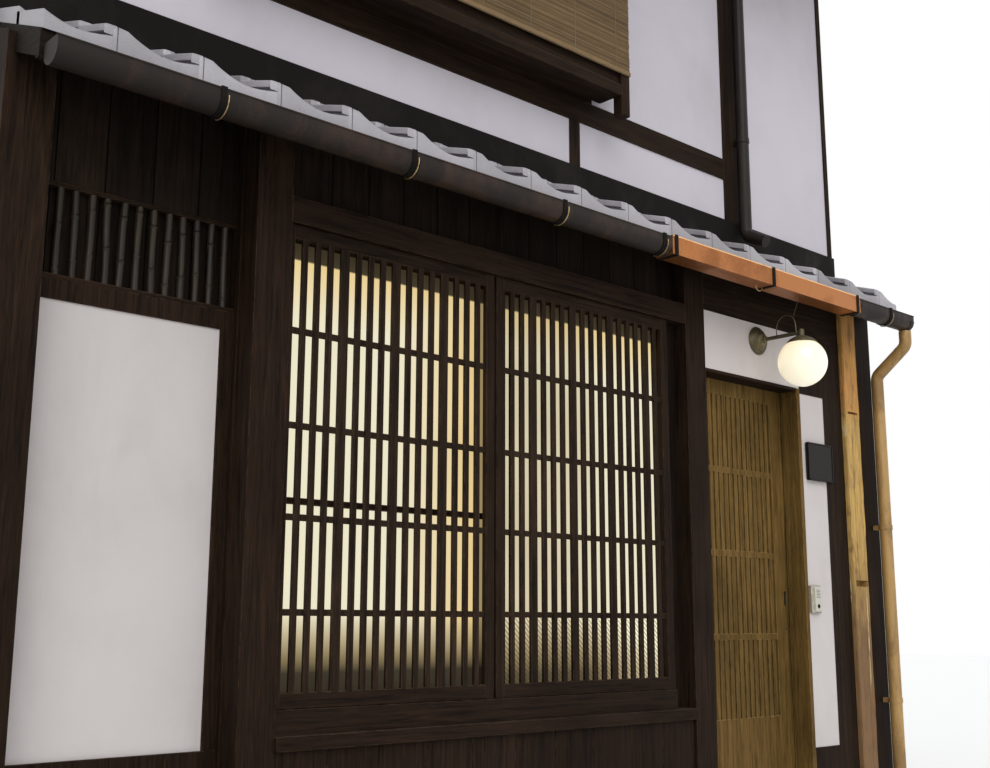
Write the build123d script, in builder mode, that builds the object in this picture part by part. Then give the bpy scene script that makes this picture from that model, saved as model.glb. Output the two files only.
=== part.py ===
"""Machiya townhouse: a narrow two-storey timber house from a row, with a lattice window bay,
a sliding entrance door, a shallow tiled pent roof and a projecting upper window box.

Millimetres. +X runs along the street front to the right, +Y into the house, +Z up.
Depths in the named values are measured from the face of the street-front posts.
The origin is on the ground, at the centre of the plan with its eaves.
"""
from build123d import *
import math
import os

# Street front, bays from left to right
END_POST = 140               # party wall ends that show as posts
LEFT_BAY = 647
POST = 126
WINDOW_BAY = 1938
ENTRANCE_POST = 127
DOOR_OPENING = 692
SIDE_PANEL = 192             # narrow plaster strip beside the door
SIDE_TRIM = 49
CORNER_POST = 103
WEATHERED_POST = 122         # old post, bare and cracked
CORNER_BOARDS = 24

# Depths
FRAME_DEPTH = 90             # posts and beams of both storeys
LOWER_SETBACK = 180          # upper wall behind the street-front posts
HOUSE_DEPTH = 6500           # street-front posts to the back of the house

# Heights of the ground floor, each from what lies under it
PLINTH = 120
LEDGE_HEIGHT = 570           # plinth to the underside of the ledge
LEDGE = 41
SILL = 75
DOORWAY = 1996               # plinth to the lintel over the door
LINTEL_PLASTER = 254
HEADER = 84                  # beam over the lattice
PENT_RISE = 188              # entrance beam up to the roof boards at the tile fronts

# Left bay
LEFT_RECESS = 116            # plaster behind the face of the posts
LEFT_WALL = 60
LEFT_BOARDS = 577            # height of the boards under the plaster
LEFT_BOARDS_PROUD = 8
LEFT_FRAME_PROUD = 6
LEFT_STRIP = 46              # wood strip beside the plaster
LEFT_RAIL = 59
TRANSOM = 281                # height of the bamboo transom with its rails
TRANSOM_DROP = 100           # transom under the top of the header
TRANSOM_RAIL = 14
BAMBOO_RADIUS = 11.5
BAMBOO_PITCH = 48
CANE_SIDES = 10
KNUCKLE_PROUD = 1.5          # how far a node of the cane stands out
KNUCKLE = 3
KNUCKLE_HEIGHT = 90          # lowest node over the rail
KNUCKLE_STEP = 37            # from one cane's node to the next one's
KNUCKLE_TURNS = 3            # canes until the nodes repeat

# Lattice window
LATTICE_SETBACK = 15
BAR_DEPTH = 20
THIN_BAR = 21.5
THICK_BAR = 34               # every fourth upright
GAP = 28
LATTICE_EDGE = 24            # left stile
LATTICE_TOP_RAIL = 47
LATTICE_BOTTOM_RAIL = 48
MEETING_STILE = 40
MEETING_SLOT = 10
LATTICE_RAIL_STEPS = (340, 297, 280, 283)      # from the top of the lattice down, rail to rail
LATTICE_RAIL = 20
LEFT_GAP_COUNTS = (4, 4, 4, 4)
RIGHT_GAP_COUNTS = (3, 4, 4, 4, 2)
WINDOW_SIDE_BOARD = 104      # recessed board between the lattice and the entrance post
LEDGE_PROUD = 12
SILL_PROUD = 7               # sill before the face of the lattice
BOARD = 30

# Sashes behind the lattice
SASH_DEPTH = 30
SASH_STILE = 38
SASH_MIDDLE_RAIL = 617       # over the sill
GLASS = 5

# Entrance
SIDE_PANEL_HEIGHT = 411      # plinth to the plaster strip
SIDE_PANEL_DROP = 21         # top of the strip under the lintel
PLASTER_SETBACK = 3
JAMB = 24
DOOR_THICKNESS = 30
DOOR_CLEARANCE = 5
DOOR_LAP_POST = 21           # leaf behind the entrance post
DOOR_LAP_PANEL = 9           # leaf behind the side panel
DOOR_UNDERCUT = 6            # leaf over the top of its rail
DOOR_LAP_LINTEL = 5
DOOR_LEFT_STILE = 110
DOOR_RIGHT_STILE = 124
DOOR_TOP_RAIL = 80
DOOR_PANEL = 521             # solid board below, bars above
DOOR_SLOTS = 15
DOOR_SLOT = 11
DOOR_RAIL_STEPS = (329, 358, 351)              # from the top of the bars down, rail to rail
DOOR_RAIL = 26
DOOR_RAIL_PROUD = 2
DOOR_RECESS = 3
DOOR_BAR_DEPTH = 12
DOOR_PANE = 4
DOOR_TRAVEL = 660
PULL_HEIGHT = 1049           # over the plinth
PULL_LENGTH = 72
PULL_WIDTH = 20
PULL_DEPTH = 12
PULL_PLATE = 2
PULL_INSET = 45              # pull's middle from the edge of the opening
KEYHOLE_DROP = 134           # keyhole under the pull's middle
KEYHOLE_RADIUS = 9
WHEEL_RADIUS = 12
WHEEL_WIDTH = 8
WHEEL_CLEARANCE = 3          # round a wheel in its slot
WHEEL_SIDE_CLEARANCE = 1
AXLE_RADIUS = 3
WHEEL_INSET = 110            # wheel centre from the end of the leaf
SEAT = 0.3                   # running gap
TRACK_BASE = 10
TRACK_RAIL_WIDTH = 6
TRACK_RAIL_HEIGHT = 10
TRACK_END = 12               # track beyond the leaf's travel
TRACK_DEPTH = 60
HEAD_TRACK = 34
GUIDE_HEIGHT = 26
GUIDE_DEPTH = 20

# Fittings at the entrance
LAMP_X = 382                 # from the edge of the opening
LAMP_RISE = 176              # over the lintel
LAMP_REACH = 226
ROSE_RADIUS = 54
ROSE_DEPTH = 22
ROSE_TAPER = 25
ARM_RADIUS = 8
GLOBE_RADIUS = 105
GLOBE_DROP = 132             # globe centre under the arm
GLOBE_NECK = 36
NECK_TAPER = 20
NECK_OVERLAP = 8             # depth of the flat cut on top of the globe
PLATE_LEFT = 25              # from the edge of the side panel
PLATE_WIDTH = 201
PLATE_DROP = 223             # top of the plate under the top of the strip
PLATE_HEIGHT = 173
PLATE_DEPTH = 18
STATION_WIDTH = 75
STATION_HEIGHT = 122
STATION_RISE = 985           # over the plinth
STATION_DEPTH = 20
WEATHERED_PROUD = 27         # old post before the face of the others
FOOT_STONE_SIDE = 20
FOOT_STONE_PROUD = 50
MORTISE_DEPTH = 40
LOW_MORTISE = (1110, 98, 26)                   # height over the plinth, width, height of the cut
HIGH_MORTISE = (1922, 84, 9)

# Pent roof
PENT_SLOPE = 0.43
PENT_EAVE = 180              # tile fronts before the posts
PENT_VERGE = 20              # roof's end inside the outer face
ROOF_BOARD = 20
RAFTER = 60
RAFTER_WIDTH = 45
RAFTERS = 15
FASCIA = 20
FASCIA_SETBACK = 8           # behind the tile fronts
TILE_PITCH = 259
TILE_BODY = 20
TILE_WAVE = 47
TILE_LAP = 210               # first lap from the outer face
FLASHING = 12

# Gutter of the pent roof: half round, with a stretch of square copper gutter let in
GUTTER_RADIUS = 43
GUTTER_LIP = 28              # straight lip over the half round
GUTTER_WALL = 2.5
GUTTER_GAP = 7               # between a gutter and its fascia
GUTTER_END = 30              # from the outer face of the house
GUTTER_DROP = 43             # lips of the half-round gutter under the roof boards' top
COPPER_HEIGHT = 75
COPPER_DROP = 36             # lips of the copper gutter under the roof boards' top
COPPER_START = 2454          # these and the hangers are from the left face of the house
COPPER_END = 3790
HANGER = 3
HANGER_WIDTH = 18
OLD_HANGERS = (505, 1185, 1863, 2407, 4060)
COPPER_HANGERS = (2476, 3116, 3768)

# Downpipes
PIPE_RADIUS = 29
PIPE_INSET = 16              # inside the outer face of the house
LOWER_PIPE_GAP = 31          # between the pipe and the posts
UPPER_PIPE_GAP = 16
PIPE_BEND = 45
PIPE_END = 60                # lower end over the ground
LOWER_OUTLET = 70            # straight pipe under the gutter
LOWER_OFFSET = 130           # fall of the length that leads back to the wall
UPPER_OUTLET = 100
UPPER_OFFSET = 320
SPOUT_RISE = 60              # foot bend under the top of the floor beam
SPOUT_REACH = 110
SPOUT_FALL = 55
CLIP = 22
CLIP_BAND = 3
LOWER_CLIPS = (700, 1500)
UPPER_CLIPS = (395, 1295)    # over the floor beam

# Upper storey, each height from what lies under it
FLOOR_BEAM = 212
FLOOR_DROP = 115             # floor under the top of its beams
FLOOR = 60
LOW_PLASTER = 205
UPPER_RAIL = 100
UPPER_LIGHT = 1140           # height of the window
HEAD_BEAM = 90
HIGH_PLASTER = 410
WALL_PLATE = 100
END_TRIM = 31
MAIN_POST_X = 3403           # from the outer face of the house
MAIN_POST = 121
WINDOW_X = 750
UPPER_WINDOW = 1697
WINDOW_POST = 45
UPPER_PLASTER_SETBACK = 7

# Window box and its reed blind
BOX_DEPTH = 168
BOX_SIDE = 97                # box past the window on each side
BOX_POST = 50
BOX_TAIL = 82                # posts run on under the rail
BOX_RAIL_DROP = 14           # rail under the window's sill
BOX_RAIL = 50
BOX_FLOOR = 18
BOX_FLOOR_RISE = 9           # floor over the underside of the rails
BLIND = 7
BLIND_SIDE = 4               # blind inside the box's sides
BLIND_RISE = 44              # lower edge over the rail
BLIND_DROP = 20              # upper edge under the box's top

# Main roof
ROOF_SLOPE = 0.45
ROOF_EAVE = 600
ROOF_VERGE = 60
ROOF_DECK = 45
RIDGE_HALF_WIDTH = 110
RIDGE_BED = 40               # mortar bed over the line of the boards
RIDGE_COURSES = 3
RIDGE_COURSE = 32
RIDGE_COURSE_STEP = 9        # each course inside the one below
RIDGE_CAP = 66               # radius of the cap tiles
RIDGE_END = 45               # thickness of the end tiles
RIDGE_END_PROUD = 30
BARGE = 28
BARGE_DEPTH = 130
UPPER_GUTTER_RADIUS = 50
UPPER_GUTTER_LIP = 12
UPPER_GUTTER_DROP = 15       # lips under the soffit's edge
UPPER_HANGERS = 7

# Garden side
BACK_WINDOW_X = 1540
BACK_WINDOW = 1220
BACK_SILL = 880              # over the plinth
BACK_LIGHT = 1000
UPPER_BACK_SILL = 745        # over the floor beam

WIDTH = (
    2 * END_POST + LEFT_BAY + POST + WINDOW_BAY + ENTRANCE_POST + DOOR_OPENING
    + SIDE_PANEL + SIDE_TRIM + CORNER_POST + WEATHERED_POST + CORNER_BOARDS
)
left = -WIDTH / 2
right = WIDTH / 2
inner_left = left + END_POST
inner_right = right - END_POST
first_post = inner_left + LEFT_BAY
window_left = first_post + POST
window_right = window_left + WINDOW_BAY
door_left = window_right + ENTRANCE_POST
door_right = door_left + DOOR_OPENING
panel_right = door_right + SIDE_PANEL
corner_post = panel_right + SIDE_TRIM
weathered_left = corner_post + CORNER_POST
weathered_right = weathered_left + WEATHERED_POST

ledge_bottom = PLINTH + LEDGE_HEIGHT
ledge_top = ledge_bottom + LEDGE
lattice_bottom = ledge_top + SILL
lintel_bottom = PLINTH + DOORWAY
header_top = lintel_bottom + LINTEL_PLASTER
lattice_top = header_top - HEADER
left_plaster_bottom = PLINTH + LEFT_BOARDS
transom_top = header_top - TRANSOM_DROP
transom_bottom = transom_top - TRANSOM
left_plaster_top = transom_bottom - LEFT_RAIL
side_panel_bottom = PLINTH + SIDE_PANEL_HEIGHT
side_panel_top = lintel_bottom - SIDE_PANEL_DROP

ridge = (LOWER_SETBACK + HOUSE_DEPTH) / 2      # depth of the ridge, which is over the origin
eave = LOWER_SETBACK - ROOF_EAVE               # depth of the street-side eave
back_eave = HOUSE_DEPTH + ROOF_EAVE


def place(y):
    """Turn a depth from the face of the street-front posts into a y coordinate."""
    return y - ridge


def board(x0, x1, y0, y1, z0, z1, mode=Mode.ADD):
    """Straight board or post between two corners."""
    with Locations(((x0 + x1) / 2, place((y0 + y1) / 2), (z0 + z1) / 2)):
        Box(x1 - x0, y1 - y0, z1 - z0, mode=mode)


def back_board(x0, x1, y0, y1, z0, z1):
    """Board on the garden side, with depths measured inwards from the back of the house."""
    board(x0, x1, HOUSE_DEPTH - y1, HOUSE_DEPTH - y0, z0, z1)


def side_profile(x0, x1, *corners):
    """Extrude an outline of (depth, height) corners along the street, from x0 to x1."""
    with BuildSketch(Plane.YZ.offset(x0)) as outline:
        with BuildLine():
            Polyline(*[(place(y), z) for y, z in corners], close=True)
        make_face()
    extrude(outline.sketch, amount=x1 - x0)


def pent_deck(y):
    """Height of the top of the pent roof's boards."""
    return header_top + PENT_RISE + PENT_SLOPE * (y + PENT_EAVE)


def pent_soffit(y):
    """Height of the underside of the pent roof's boards."""
    return pent_deck(y) - ROOF_BOARD


floor_beam_bottom = pent_soffit(LOWER_SETBACK)
floor_beam_top = floor_beam_bottom + FLOOR_BEAM
upper_rail_bottom = floor_beam_top + LOW_PLASTER
upper_rail_top = upper_rail_bottom + UPPER_RAIL
upper_head = upper_rail_top + UPPER_LIGHT
wall_plate_bottom = upper_head + HEAD_BEAM + HIGH_PLASTER
wall_top = wall_plate_bottom + WALL_PLATE
upper_wall_back = LOWER_SETBACK + FRAME_DEPTH
back_wall_face = HOUSE_DEPTH - FRAME_DEPTH


def main_soffit(y):
    """Height of the underside of the main roof, which falls both ways from the ridge."""
    return wall_top + ROOF_SLOPE * (ridge - LOWER_SETBACK - abs(y - ridge))


def up_to_pent(x0, x1, y0, y1, z0):
    """Post or board that is cut to the slope under the pent roof."""
    side_profile(x0, x1, (y0, z0), (y1, z0), (y1, pent_soffit(y1)), (y0, pent_soffit(y0)))


# Plinth, floors and party walls

with BuildPart() as ground_slab:
    board(left, right, 0, HOUSE_DEPTH, 0, PLINTH)
    stone_left = weathered_left - FOOT_STONE_SIDE
    board(stone_left, weathered_right + FOOT_STONE_SIDE, -FOOT_STONE_PROUD, 0, 0, PLINTH)

with BuildPart() as upper_floor:
    floor_top = floor_beam_top - FLOOR_DROP
    board(inner_left, inner_right, upper_wall_back, back_wall_face, floor_top - FLOOR, floor_top)

gable = (
    (upper_wall_back, PLINTH),
    (HOUSE_DEPTH, PLINTH),
    (HOUSE_DEPTH, main_soffit(HOUSE_DEPTH)),
    (ridge, main_soffit(ridge)),
    (upper_wall_back, main_soffit(upper_wall_back)),
)
with BuildPart() as left_party_wall:
    side_profile(left, inner_left, *gable)

with BuildPart() as right_party_wall:
    side_profile(inner_right, right, *gable)

# Posts, beams and boards of the street front

with BuildPart() as end_posts:
    for x0 in (left, inner_right):
        side_profile(
            x0,
            x0 + END_POST,
            (0, PLINTH),
            (upper_wall_back, PLINTH),
            (upper_wall_back, floor_beam_bottom),
            (LOWER_SETBACK, floor_beam_bottom),
            (0, pent_soffit(0)),
        )

with BuildPart() as front_posts:
    up_to_pent(first_post, window_left, 0, FRAME_DEPTH, PLINTH)
    up_to_pent(window_right, door_left, 0, FRAME_DEPTH, PLINTH)
    board(corner_post, weathered_left, 0, FRAME_DEPTH, PLINTH, header_top)

with BuildPart() as front_beams:
    board(window_left, window_right, 0, FRAME_DEPTH, lattice_top, header_top)
    up_to_pent(door_left, weathered_left, 0, FRAME_DEPTH, header_top)

left_wall_back = LEFT_RECESS + LEFT_WALL
board_face = FRAME_DEPTH - BOARD
side_board = window_right - WINDOW_SIDE_BOARD
with BuildPart() as front_boards:
    low_board_face = LEFT_RECESS - LEFT_BOARDS_PROUD
    board(inner_left, first_post, low_board_face, left_wall_back, PLINTH, left_plaster_bottom)
    up_to_pent(inner_left, first_post, left_wall_back - BOARD, left_wall_back, transom_bottom)
    up_to_pent(inner_left, first_post, LEFT_RECESS, left_wall_back, transom_top)
    up_to_pent(window_left, window_right, board_face, FRAME_DEPTH, header_top)
    board(window_left, window_right, LATTICE_SETBACK, board_face, PLINTH, ledge_bottom)
    board(side_board, window_right, board_face, FRAME_DEPTH, ledge_top, lattice_top)
    up_to_pent(weathered_right, inner_right, LATTICE_SETBACK, FRAME_DEPTH, PLINTH)

strip_left = first_post - LEFT_STRIP
with BuildPart() as front_plaster:
    board(inner_left, strip_left, LEFT_RECESS, left_wall_back, left_plaster_bottom, left_plaster_top)
    board(door_left, door_right, PLASTER_SETBACK, FRAME_DEPTH, lintel_bottom, header_top)
    board(door_right, panel_right, PLASTER_SETBACK, FRAME_DEPTH, side_panel_bottom, side_panel_top)

with BuildPart() as left_panel_frame:
    frame_face = LEFT_RECESS - LEFT_FRAME_PROUD
    board(strip_left, first_post, frame_face, left_wall_back, left_plaster_bottom, left_plaster_top)
    board(inner_left, first_post, frame_face, left_wall_back, left_plaster_top, transom_bottom)

with BuildPart() as side_panel_frame:
    with BuildSketch(Plane.XZ.offset(-place(0))):
        with Locations(((door_right + corner_post) / 2, (PLINTH + header_top) / 2)):
            Rectangle(corner_post - door_right, header_top - PLINTH)
        with Locations(((door_right + panel_right) / 2, (side_panel_bottom + side_panel_top) / 2)):
            Rectangle(SIDE_PANEL, side_panel_top - side_panel_bottom, mode=Mode.SUBTRACT)
    extrude(amount=-FRAME_DEPTH)

# Bamboo transom: canes with their knuckles, between two thin rails

cane_count = int((LEFT_BAY - 2 * BAMBOO_RADIUS) / BAMBOO_PITCH)
cane_first = (inner_left + first_post - (cane_count - 1) * BAMBOO_PITCH) / 2
with BuildPart() as bamboo_transom:
    for z in (transom_bottom, transom_top - TRANSOM_RAIL):
        board(inner_left, first_post, LEFT_RECESS, LEFT_RECESS + 2 * BAMBOO_RADIUS, z, z + TRANSOM_RAIL)
    for i in range(cane_count):
        centre = (cane_first + i * BAMBOO_PITCH, place(LEFT_RECESS + BAMBOO_RADIUS))
        with BuildSketch(Plane.XY.offset(transom_bottom + TRANSOM_RAIL)):
            with Locations(centre):
                RegularPolygon(BAMBOO_RADIUS, CANE_SIDES)
        extrude(amount=transom_top - transom_bottom - 2 * TRANSOM_RAIL)
        knuckle = transom_bottom + KNUCKLE_HEIGHT + KNUCKLE_STEP * (i % KNUCKLE_TURNS)
        with BuildSketch(Plane.XY.offset(knuckle)):
            with Locations(centre):
                RegularPolygon(BAMBOO_RADIUS + KNUCKLE_PROUD, CANE_SIDES)
        extrude(amount=KNUCKLE)

# Lattice window


def gap_edges(first, groups):
    """Left edges of the gaps, where a thick bar parts one group from the next."""
    edges = []
    for count in groups:
        for _ in range(count):
            edges.append(first)
            first += GAP + THIN_BAR
        first += THICK_BAR - THIN_BAR
    return edges


def rails_down(top, steps):
    """Heights of rails, each a step below the one above."""
    return [top - sum(steps[: i + 1]) for i in range(len(steps))]


def lattice(x0, x1, edges):
    """Uprights between two rails, with thin rails let in behind their faces."""
    gap_bottom = lattice_bottom + LATTICE_BOTTOM_RAIL
    gap_top = lattice_top - LATTICE_TOP_RAIL
    with BuildSketch(Plane.XZ.offset(-place(LATTICE_SETBACK))) as grid:
        with Locations(((x0 + x1) / 2, (lattice_bottom + lattice_top) / 2)):
            Rectangle(x1 - x0, lattice_top - lattice_bottom)
        with Locations(*[(x + GAP / 2, (gap_bottom + gap_top) / 2) for x in edges]):
            Rectangle(GAP, gap_top - gap_bottom, mode=Mode.SUBTRACT)
    extrude(grid.sketch, amount=-BAR_DEPTH)
    rail_face = LATTICE_SETBACK + BAR_DEPTH / 4
    for z in rails_down(lattice_top, LATTICE_RAIL_STEPS):
        board(x0, x1, rail_face, LATTICE_SETBACK + BAR_DEPTH, z - LATTICE_RAIL / 2, z + LATTICE_RAIL / 2)


left_gaps = gap_edges(window_left + LATTICE_EDGE, LEFT_GAP_COUNTS)
lattice_middle = left_gaps[-1] + GAP + MEETING_STILE
right_gaps = gap_edges(lattice_middle + MEETING_SLOT + MEETING_STILE, RIGHT_GAP_COUNTS)

with BuildPart() as lattice_left:
    lattice(window_left, lattice_middle, left_gaps)

with BuildPart() as lattice_right:
    lattice(lattice_middle + MEETING_SLOT, side_board, right_gaps)

with BuildPart() as window_sill:
    board(window_left, side_board, LATTICE_SETBACK - SILL_PROUD, FRAME_DEPTH, ledge_top, lattice_bottom)
    board(window_left, window_right, -LEDGE_PROUD, FRAME_DEPTH, ledge_bottom, ledge_top)


def sashes(x0, x1, z0, z1, face, meeting, middle_rail=None):
    """Frame of two lights that meet at one x, with its face at a depth and an optional thin rail."""
    with BuildSketch(Plane.XZ.offset(-place(face))) as frame:
        with Locations(((x0 + x1) / 2, (z0 + z1) / 2)):
            Rectangle(x1 - x0, z1 - z0)
        for a, b in ((x0, meeting), (meeting, x1)):
            with Locations(((a + b) / 2, (z0 + z1) / 2)):
                Rectangle(b - a - 2 * SASH_STILE, z1 - z0 - 2 * SASH_STILE, mode=Mode.SUBTRACT)
        if middle_rail:
            with Locations(((x0 + meeting) / 2, middle_rail)):
                Rectangle(meeting - x0 - SASH_STILE, SASH_STILE / 2)
    extrude(frame.sketch, amount=-SASH_DEPTH)


sash_face = FRAME_DEPTH - GLASS - SASH_DEPTH
meeting_x = lattice_middle + MEETING_SLOT / 2
with BuildPart() as window_sashes:
    middle_rail = lattice_bottom + SASH_MIDDLE_RAIL
    sashes(window_left, side_board, lattice_bottom, lattice_top, sash_face, meeting_x, middle_rail)

with BuildPart() as window_glass:
    board(window_left, side_board, FRAME_DEPTH - GLASS, FRAME_DEPTH, lattice_bottom, lattice_top)

# Sliding entrance door, which runs to the left behind the window bay

door_x0 = door_left - DOOR_LAP_POST
door_x1 = door_right + DOOR_LAP_PANEL
door_face = FRAME_DEPTH + DOOR_CLEARANCE
door_back = door_face + DOOR_THICKNESS
door_middle = (door_face + door_back) / 2
rail_top = PLINTH + TRACK_BASE + TRACK_RAIL_HEIGHT
door_bottom = rail_top + DOOR_UNDERCUT
door_top = lintel_bottom + DOOR_LAP_LINTEL
door_panel_top = door_bottom + DOOR_PANEL
field_left = door_x0 + DOOR_LEFT_STILE
field_right = door_x1 - DOOR_RIGHT_STILE
field_top = door_top - DOOR_TOP_RAIL
slot_pitch = (field_right - field_left - DOOR_SLOT) / (DOOR_SLOTS - 1)
bar_face = door_face + DOOR_RECESS
bar_back = bar_face + DOOR_BAR_DEPTH
pull_x = door_right - PULL_INSET
pull_height = PLINTH + PULL_HEIGHT
keyhole_height = pull_height - KEYHOLE_DROP
wheel_centre = rail_top + SEAT + WHEEL_RADIUS
wheel_space = WHEEL_RADIUS + WHEEL_CLEARANCE
wheel_xs = (door_x0 + WHEEL_INSET, door_x1 - WHEEL_INSET)

with BuildPart() as entrance_door:
    with BuildSketch(Plane.XZ.offset(-place(door_face))):
        with Locations(((door_x0 + door_x1) / 2, (door_bottom + door_top) / 2)):
            Rectangle(door_x1 - door_x0, door_top - door_bottom)
        for i in range(DOOR_SLOTS):
            with Locations((field_left + DOOR_SLOT / 2 + i * slot_pitch, (door_panel_top + field_top) / 2)):
                Rectangle(DOOR_SLOT, field_top - door_panel_top, mode=Mode.SUBTRACT)
    extrude(amount=-DOOR_THICKNESS)
    board(field_left, field_right, door_face, bar_face, door_panel_top, field_top, Mode.SUBTRACT)
    board(field_left, field_right, bar_back, door_back, door_panel_top, field_top, Mode.SUBTRACT)
    door_rail_face = bar_face - DOOR_RAIL_PROUD
    door_rail_back = bar_back - DOOR_RAIL_PROUD
    for z in rails_down(field_top, DOOR_RAIL_STEPS):
        board(field_left, field_right, door_rail_face, door_rail_back, z - DOOR_RAIL / 2, z + DOOR_RAIL / 2)
    with BuildSketch(Plane.XZ.offset(-place(door_face))):
        with Locations((pull_x, pull_height)):
            SlotOverall(PULL_LENGTH, PULL_WIDTH, rotation=90)
        with Locations((pull_x, keyhole_height)):
            Circle(KEYHOLE_RADIUS)
    extrude(amount=-PULL_DEPTH, mode=Mode.SUBTRACT)
    slot_face = door_middle - WHEEL_WIDTH / 2 - WHEEL_SIDE_CLEARANCE
    slot_back = door_middle + WHEEL_WIDTH / 2 + WHEEL_SIDE_CLEARANCE
    for x in wheel_xs:
        slot_top = wheel_centre + wheel_space
        board(x - wheel_space, x + wheel_space, slot_face, slot_back, door_bottom, slot_top, Mode.SUBTRACT)

with BuildPart() as door_pane:
    board(field_left, field_right, bar_back, bar_back + DOOR_PANE, door_panel_top, field_top)

with BuildPart() as door_pull:
    with BuildSketch(Plane.XZ.offset(-place(door_face))):
        with Locations((pull_x, pull_height)):
            SlotOverall(PULL_LENGTH, PULL_WIDTH, rotation=90)
        with Locations((pull_x, keyhole_height)):
            Circle(KEYHOLE_RADIUS)
    extrude(amount=-PULL_DEPTH)
    with BuildSketch(Plane.XZ.offset(-place(door_face))):
        with Locations((pull_x, pull_height)):
            SlotOverall(PULL_LENGTH - 4 * PULL_PLATE, PULL_WIDTH - 3 * PULL_PLATE, rotation=90)
    extrude(amount=-PULL_DEPTH + PULL_PLATE, mode=Mode.SUBTRACT)

with BuildPart() as door_wheels:
    for x in wheel_xs:
        with BuildSketch(Plane.XZ.offset(-place(door_middle - WHEEL_WIDTH / 2))):
            with Locations((x, wheel_centre)):
                Circle(WHEEL_RADIUS)
        extrude(amount=-WHEEL_WIDTH)
        with BuildSketch(Plane.XZ.offset(-place(slot_face))):
            with Locations((x, wheel_centre)):
                Circle(AXLE_RADIUS)
        extrude(amount=-(slot_back - slot_face))

track_left = door_x0 - DOOR_TRAVEL - TRACK_END
track_right = door_x1 + TRACK_END
track_back = FRAME_DEPTH + TRACK_DEPTH
head_bottom = door_top + DOOR_CLEARANCE
guide_face = door_back + DOOR_CLEARANCE
rail_face = door_middle - TRACK_RAIL_WIDTH / 2
rail_back = door_middle + TRACK_RAIL_WIDTH / 2

with BuildPart() as door_rails:
    board(track_left, track_right, FRAME_DEPTH, track_back, PLINTH, PLINTH + TRACK_BASE)
    board(track_left, track_right, rail_face, rail_back, PLINTH + TRACK_BASE, rail_top)
    guide_back = guide_face + GUIDE_DEPTH
    board(track_left, track_right, guide_face, guide_back, head_bottom - GUIDE_HEIGHT, head_bottom)

with BuildPart() as door_head_track:
    board(track_left, track_right, FRAME_DEPTH, track_back, head_bottom, head_bottom + HEAD_TRACK)

with BuildPart() as door_jamb:
    board(door_right - JAMB, door_right, 0, FRAME_DEPTH, PLINTH, lintel_bottom)

# Lamp, name plate, door station and the old weathered post

lamp_x = door_left + LAMP_X
lamp_height = lintel_bottom + LAMP_RISE
globe_centre = lamp_height - GLOBE_DROP
neck_bottom = globe_centre + GLOBE_RADIUS - NECK_OVERLAP
with BuildPart() as lamp_bracket:
    with BuildSketch(Plane.XZ.offset(-place(PLASTER_SETBACK))):
        with Locations((lamp_x, lamp_height)):
            Circle(ROSE_RADIUS)
    extrude(amount=ROSE_DEPTH, taper=ROSE_TAPER)
    with BuildSketch(Plane.XZ.offset(-place(PLASTER_SETBACK))):
        with Locations((lamp_x, lamp_height)):
            Circle(ARM_RADIUS)
    extrude(amount=LAMP_REACH + PLASTER_SETBACK)
    with BuildSketch(Plane.XY.offset(neck_bottom)):
        with Locations((lamp_x, place(-LAMP_REACH))):
            Circle(GLOBE_NECK)
    extrude(amount=lamp_height - neck_bottom + ARM_RADIUS, taper=NECK_TAPER)

with BuildPart() as lamp_globe:
    with Locations((lamp_x, place(-LAMP_REACH), globe_centre)):
        Sphere(GLOBE_RADIUS)
    with BuildSketch(Plane.XY.offset(neck_bottom)):
        with Locations((lamp_x, place(-LAMP_REACH))):
            Circle(GLOBE_RADIUS)
    extrude(amount=GLOBE_RADIUS, mode=Mode.SUBTRACT)

with BuildPart() as name_plate:
    plate_left = door_right + PLATE_LEFT
    plate_top = side_panel_top - PLATE_DROP
    board(plate_left, plate_left + PLATE_WIDTH, -PLATE_DEPTH, 0, plate_top - PLATE_HEIGHT, plate_top)

with BuildPart() as door_station:
    station_left = door_right + PLASTER_SETBACK
    station_face = PLASTER_SETBACK - STATION_DEPTH
    station_bottom = PLINTH + STATION_RISE
    station_top = station_bottom + STATION_HEIGHT
    station_right = station_left + STATION_WIDTH
    board(station_left, station_right, station_face, PLASTER_SETBACK, station_bottom, station_top)

with BuildPart() as weathered_post:
    up_to_pent(weathered_left, weathered_right, -WEATHERED_PROUD, FRAME_DEPTH, PLINTH)
    weathered_middle = (weathered_left + weathered_right) / 2
    for rise, width, height in (LOW_MORTISE, HIGH_MORTISE):
        x0 = weathered_middle - width / 2
        z0 = PLINTH + rise
        back = MORTISE_DEPTH - WEATHERED_PROUD
        board(x0, x0 + width, -WEATHERED_PROUD, back, z0, z0 + height, Mode.SUBTRACT)

# Pent roof

pent_left = left + PENT_VERGE
pent_right = right - PENT_VERGE
fascia_face = -PENT_EAVE + FASCIA_SETBACK


def rafter(x, y0, y1, soffit):
    """Rafter under the roof boards between two depths."""
    side_profile(
        x,
        x + RAFTER_WIDTH,
        (y0, soffit(y0)),
        (y1, soffit(y1)),
        (y1, soffit(y1) - RAFTER),
        (y0, soffit(y0) - RAFTER),
    )


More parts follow.
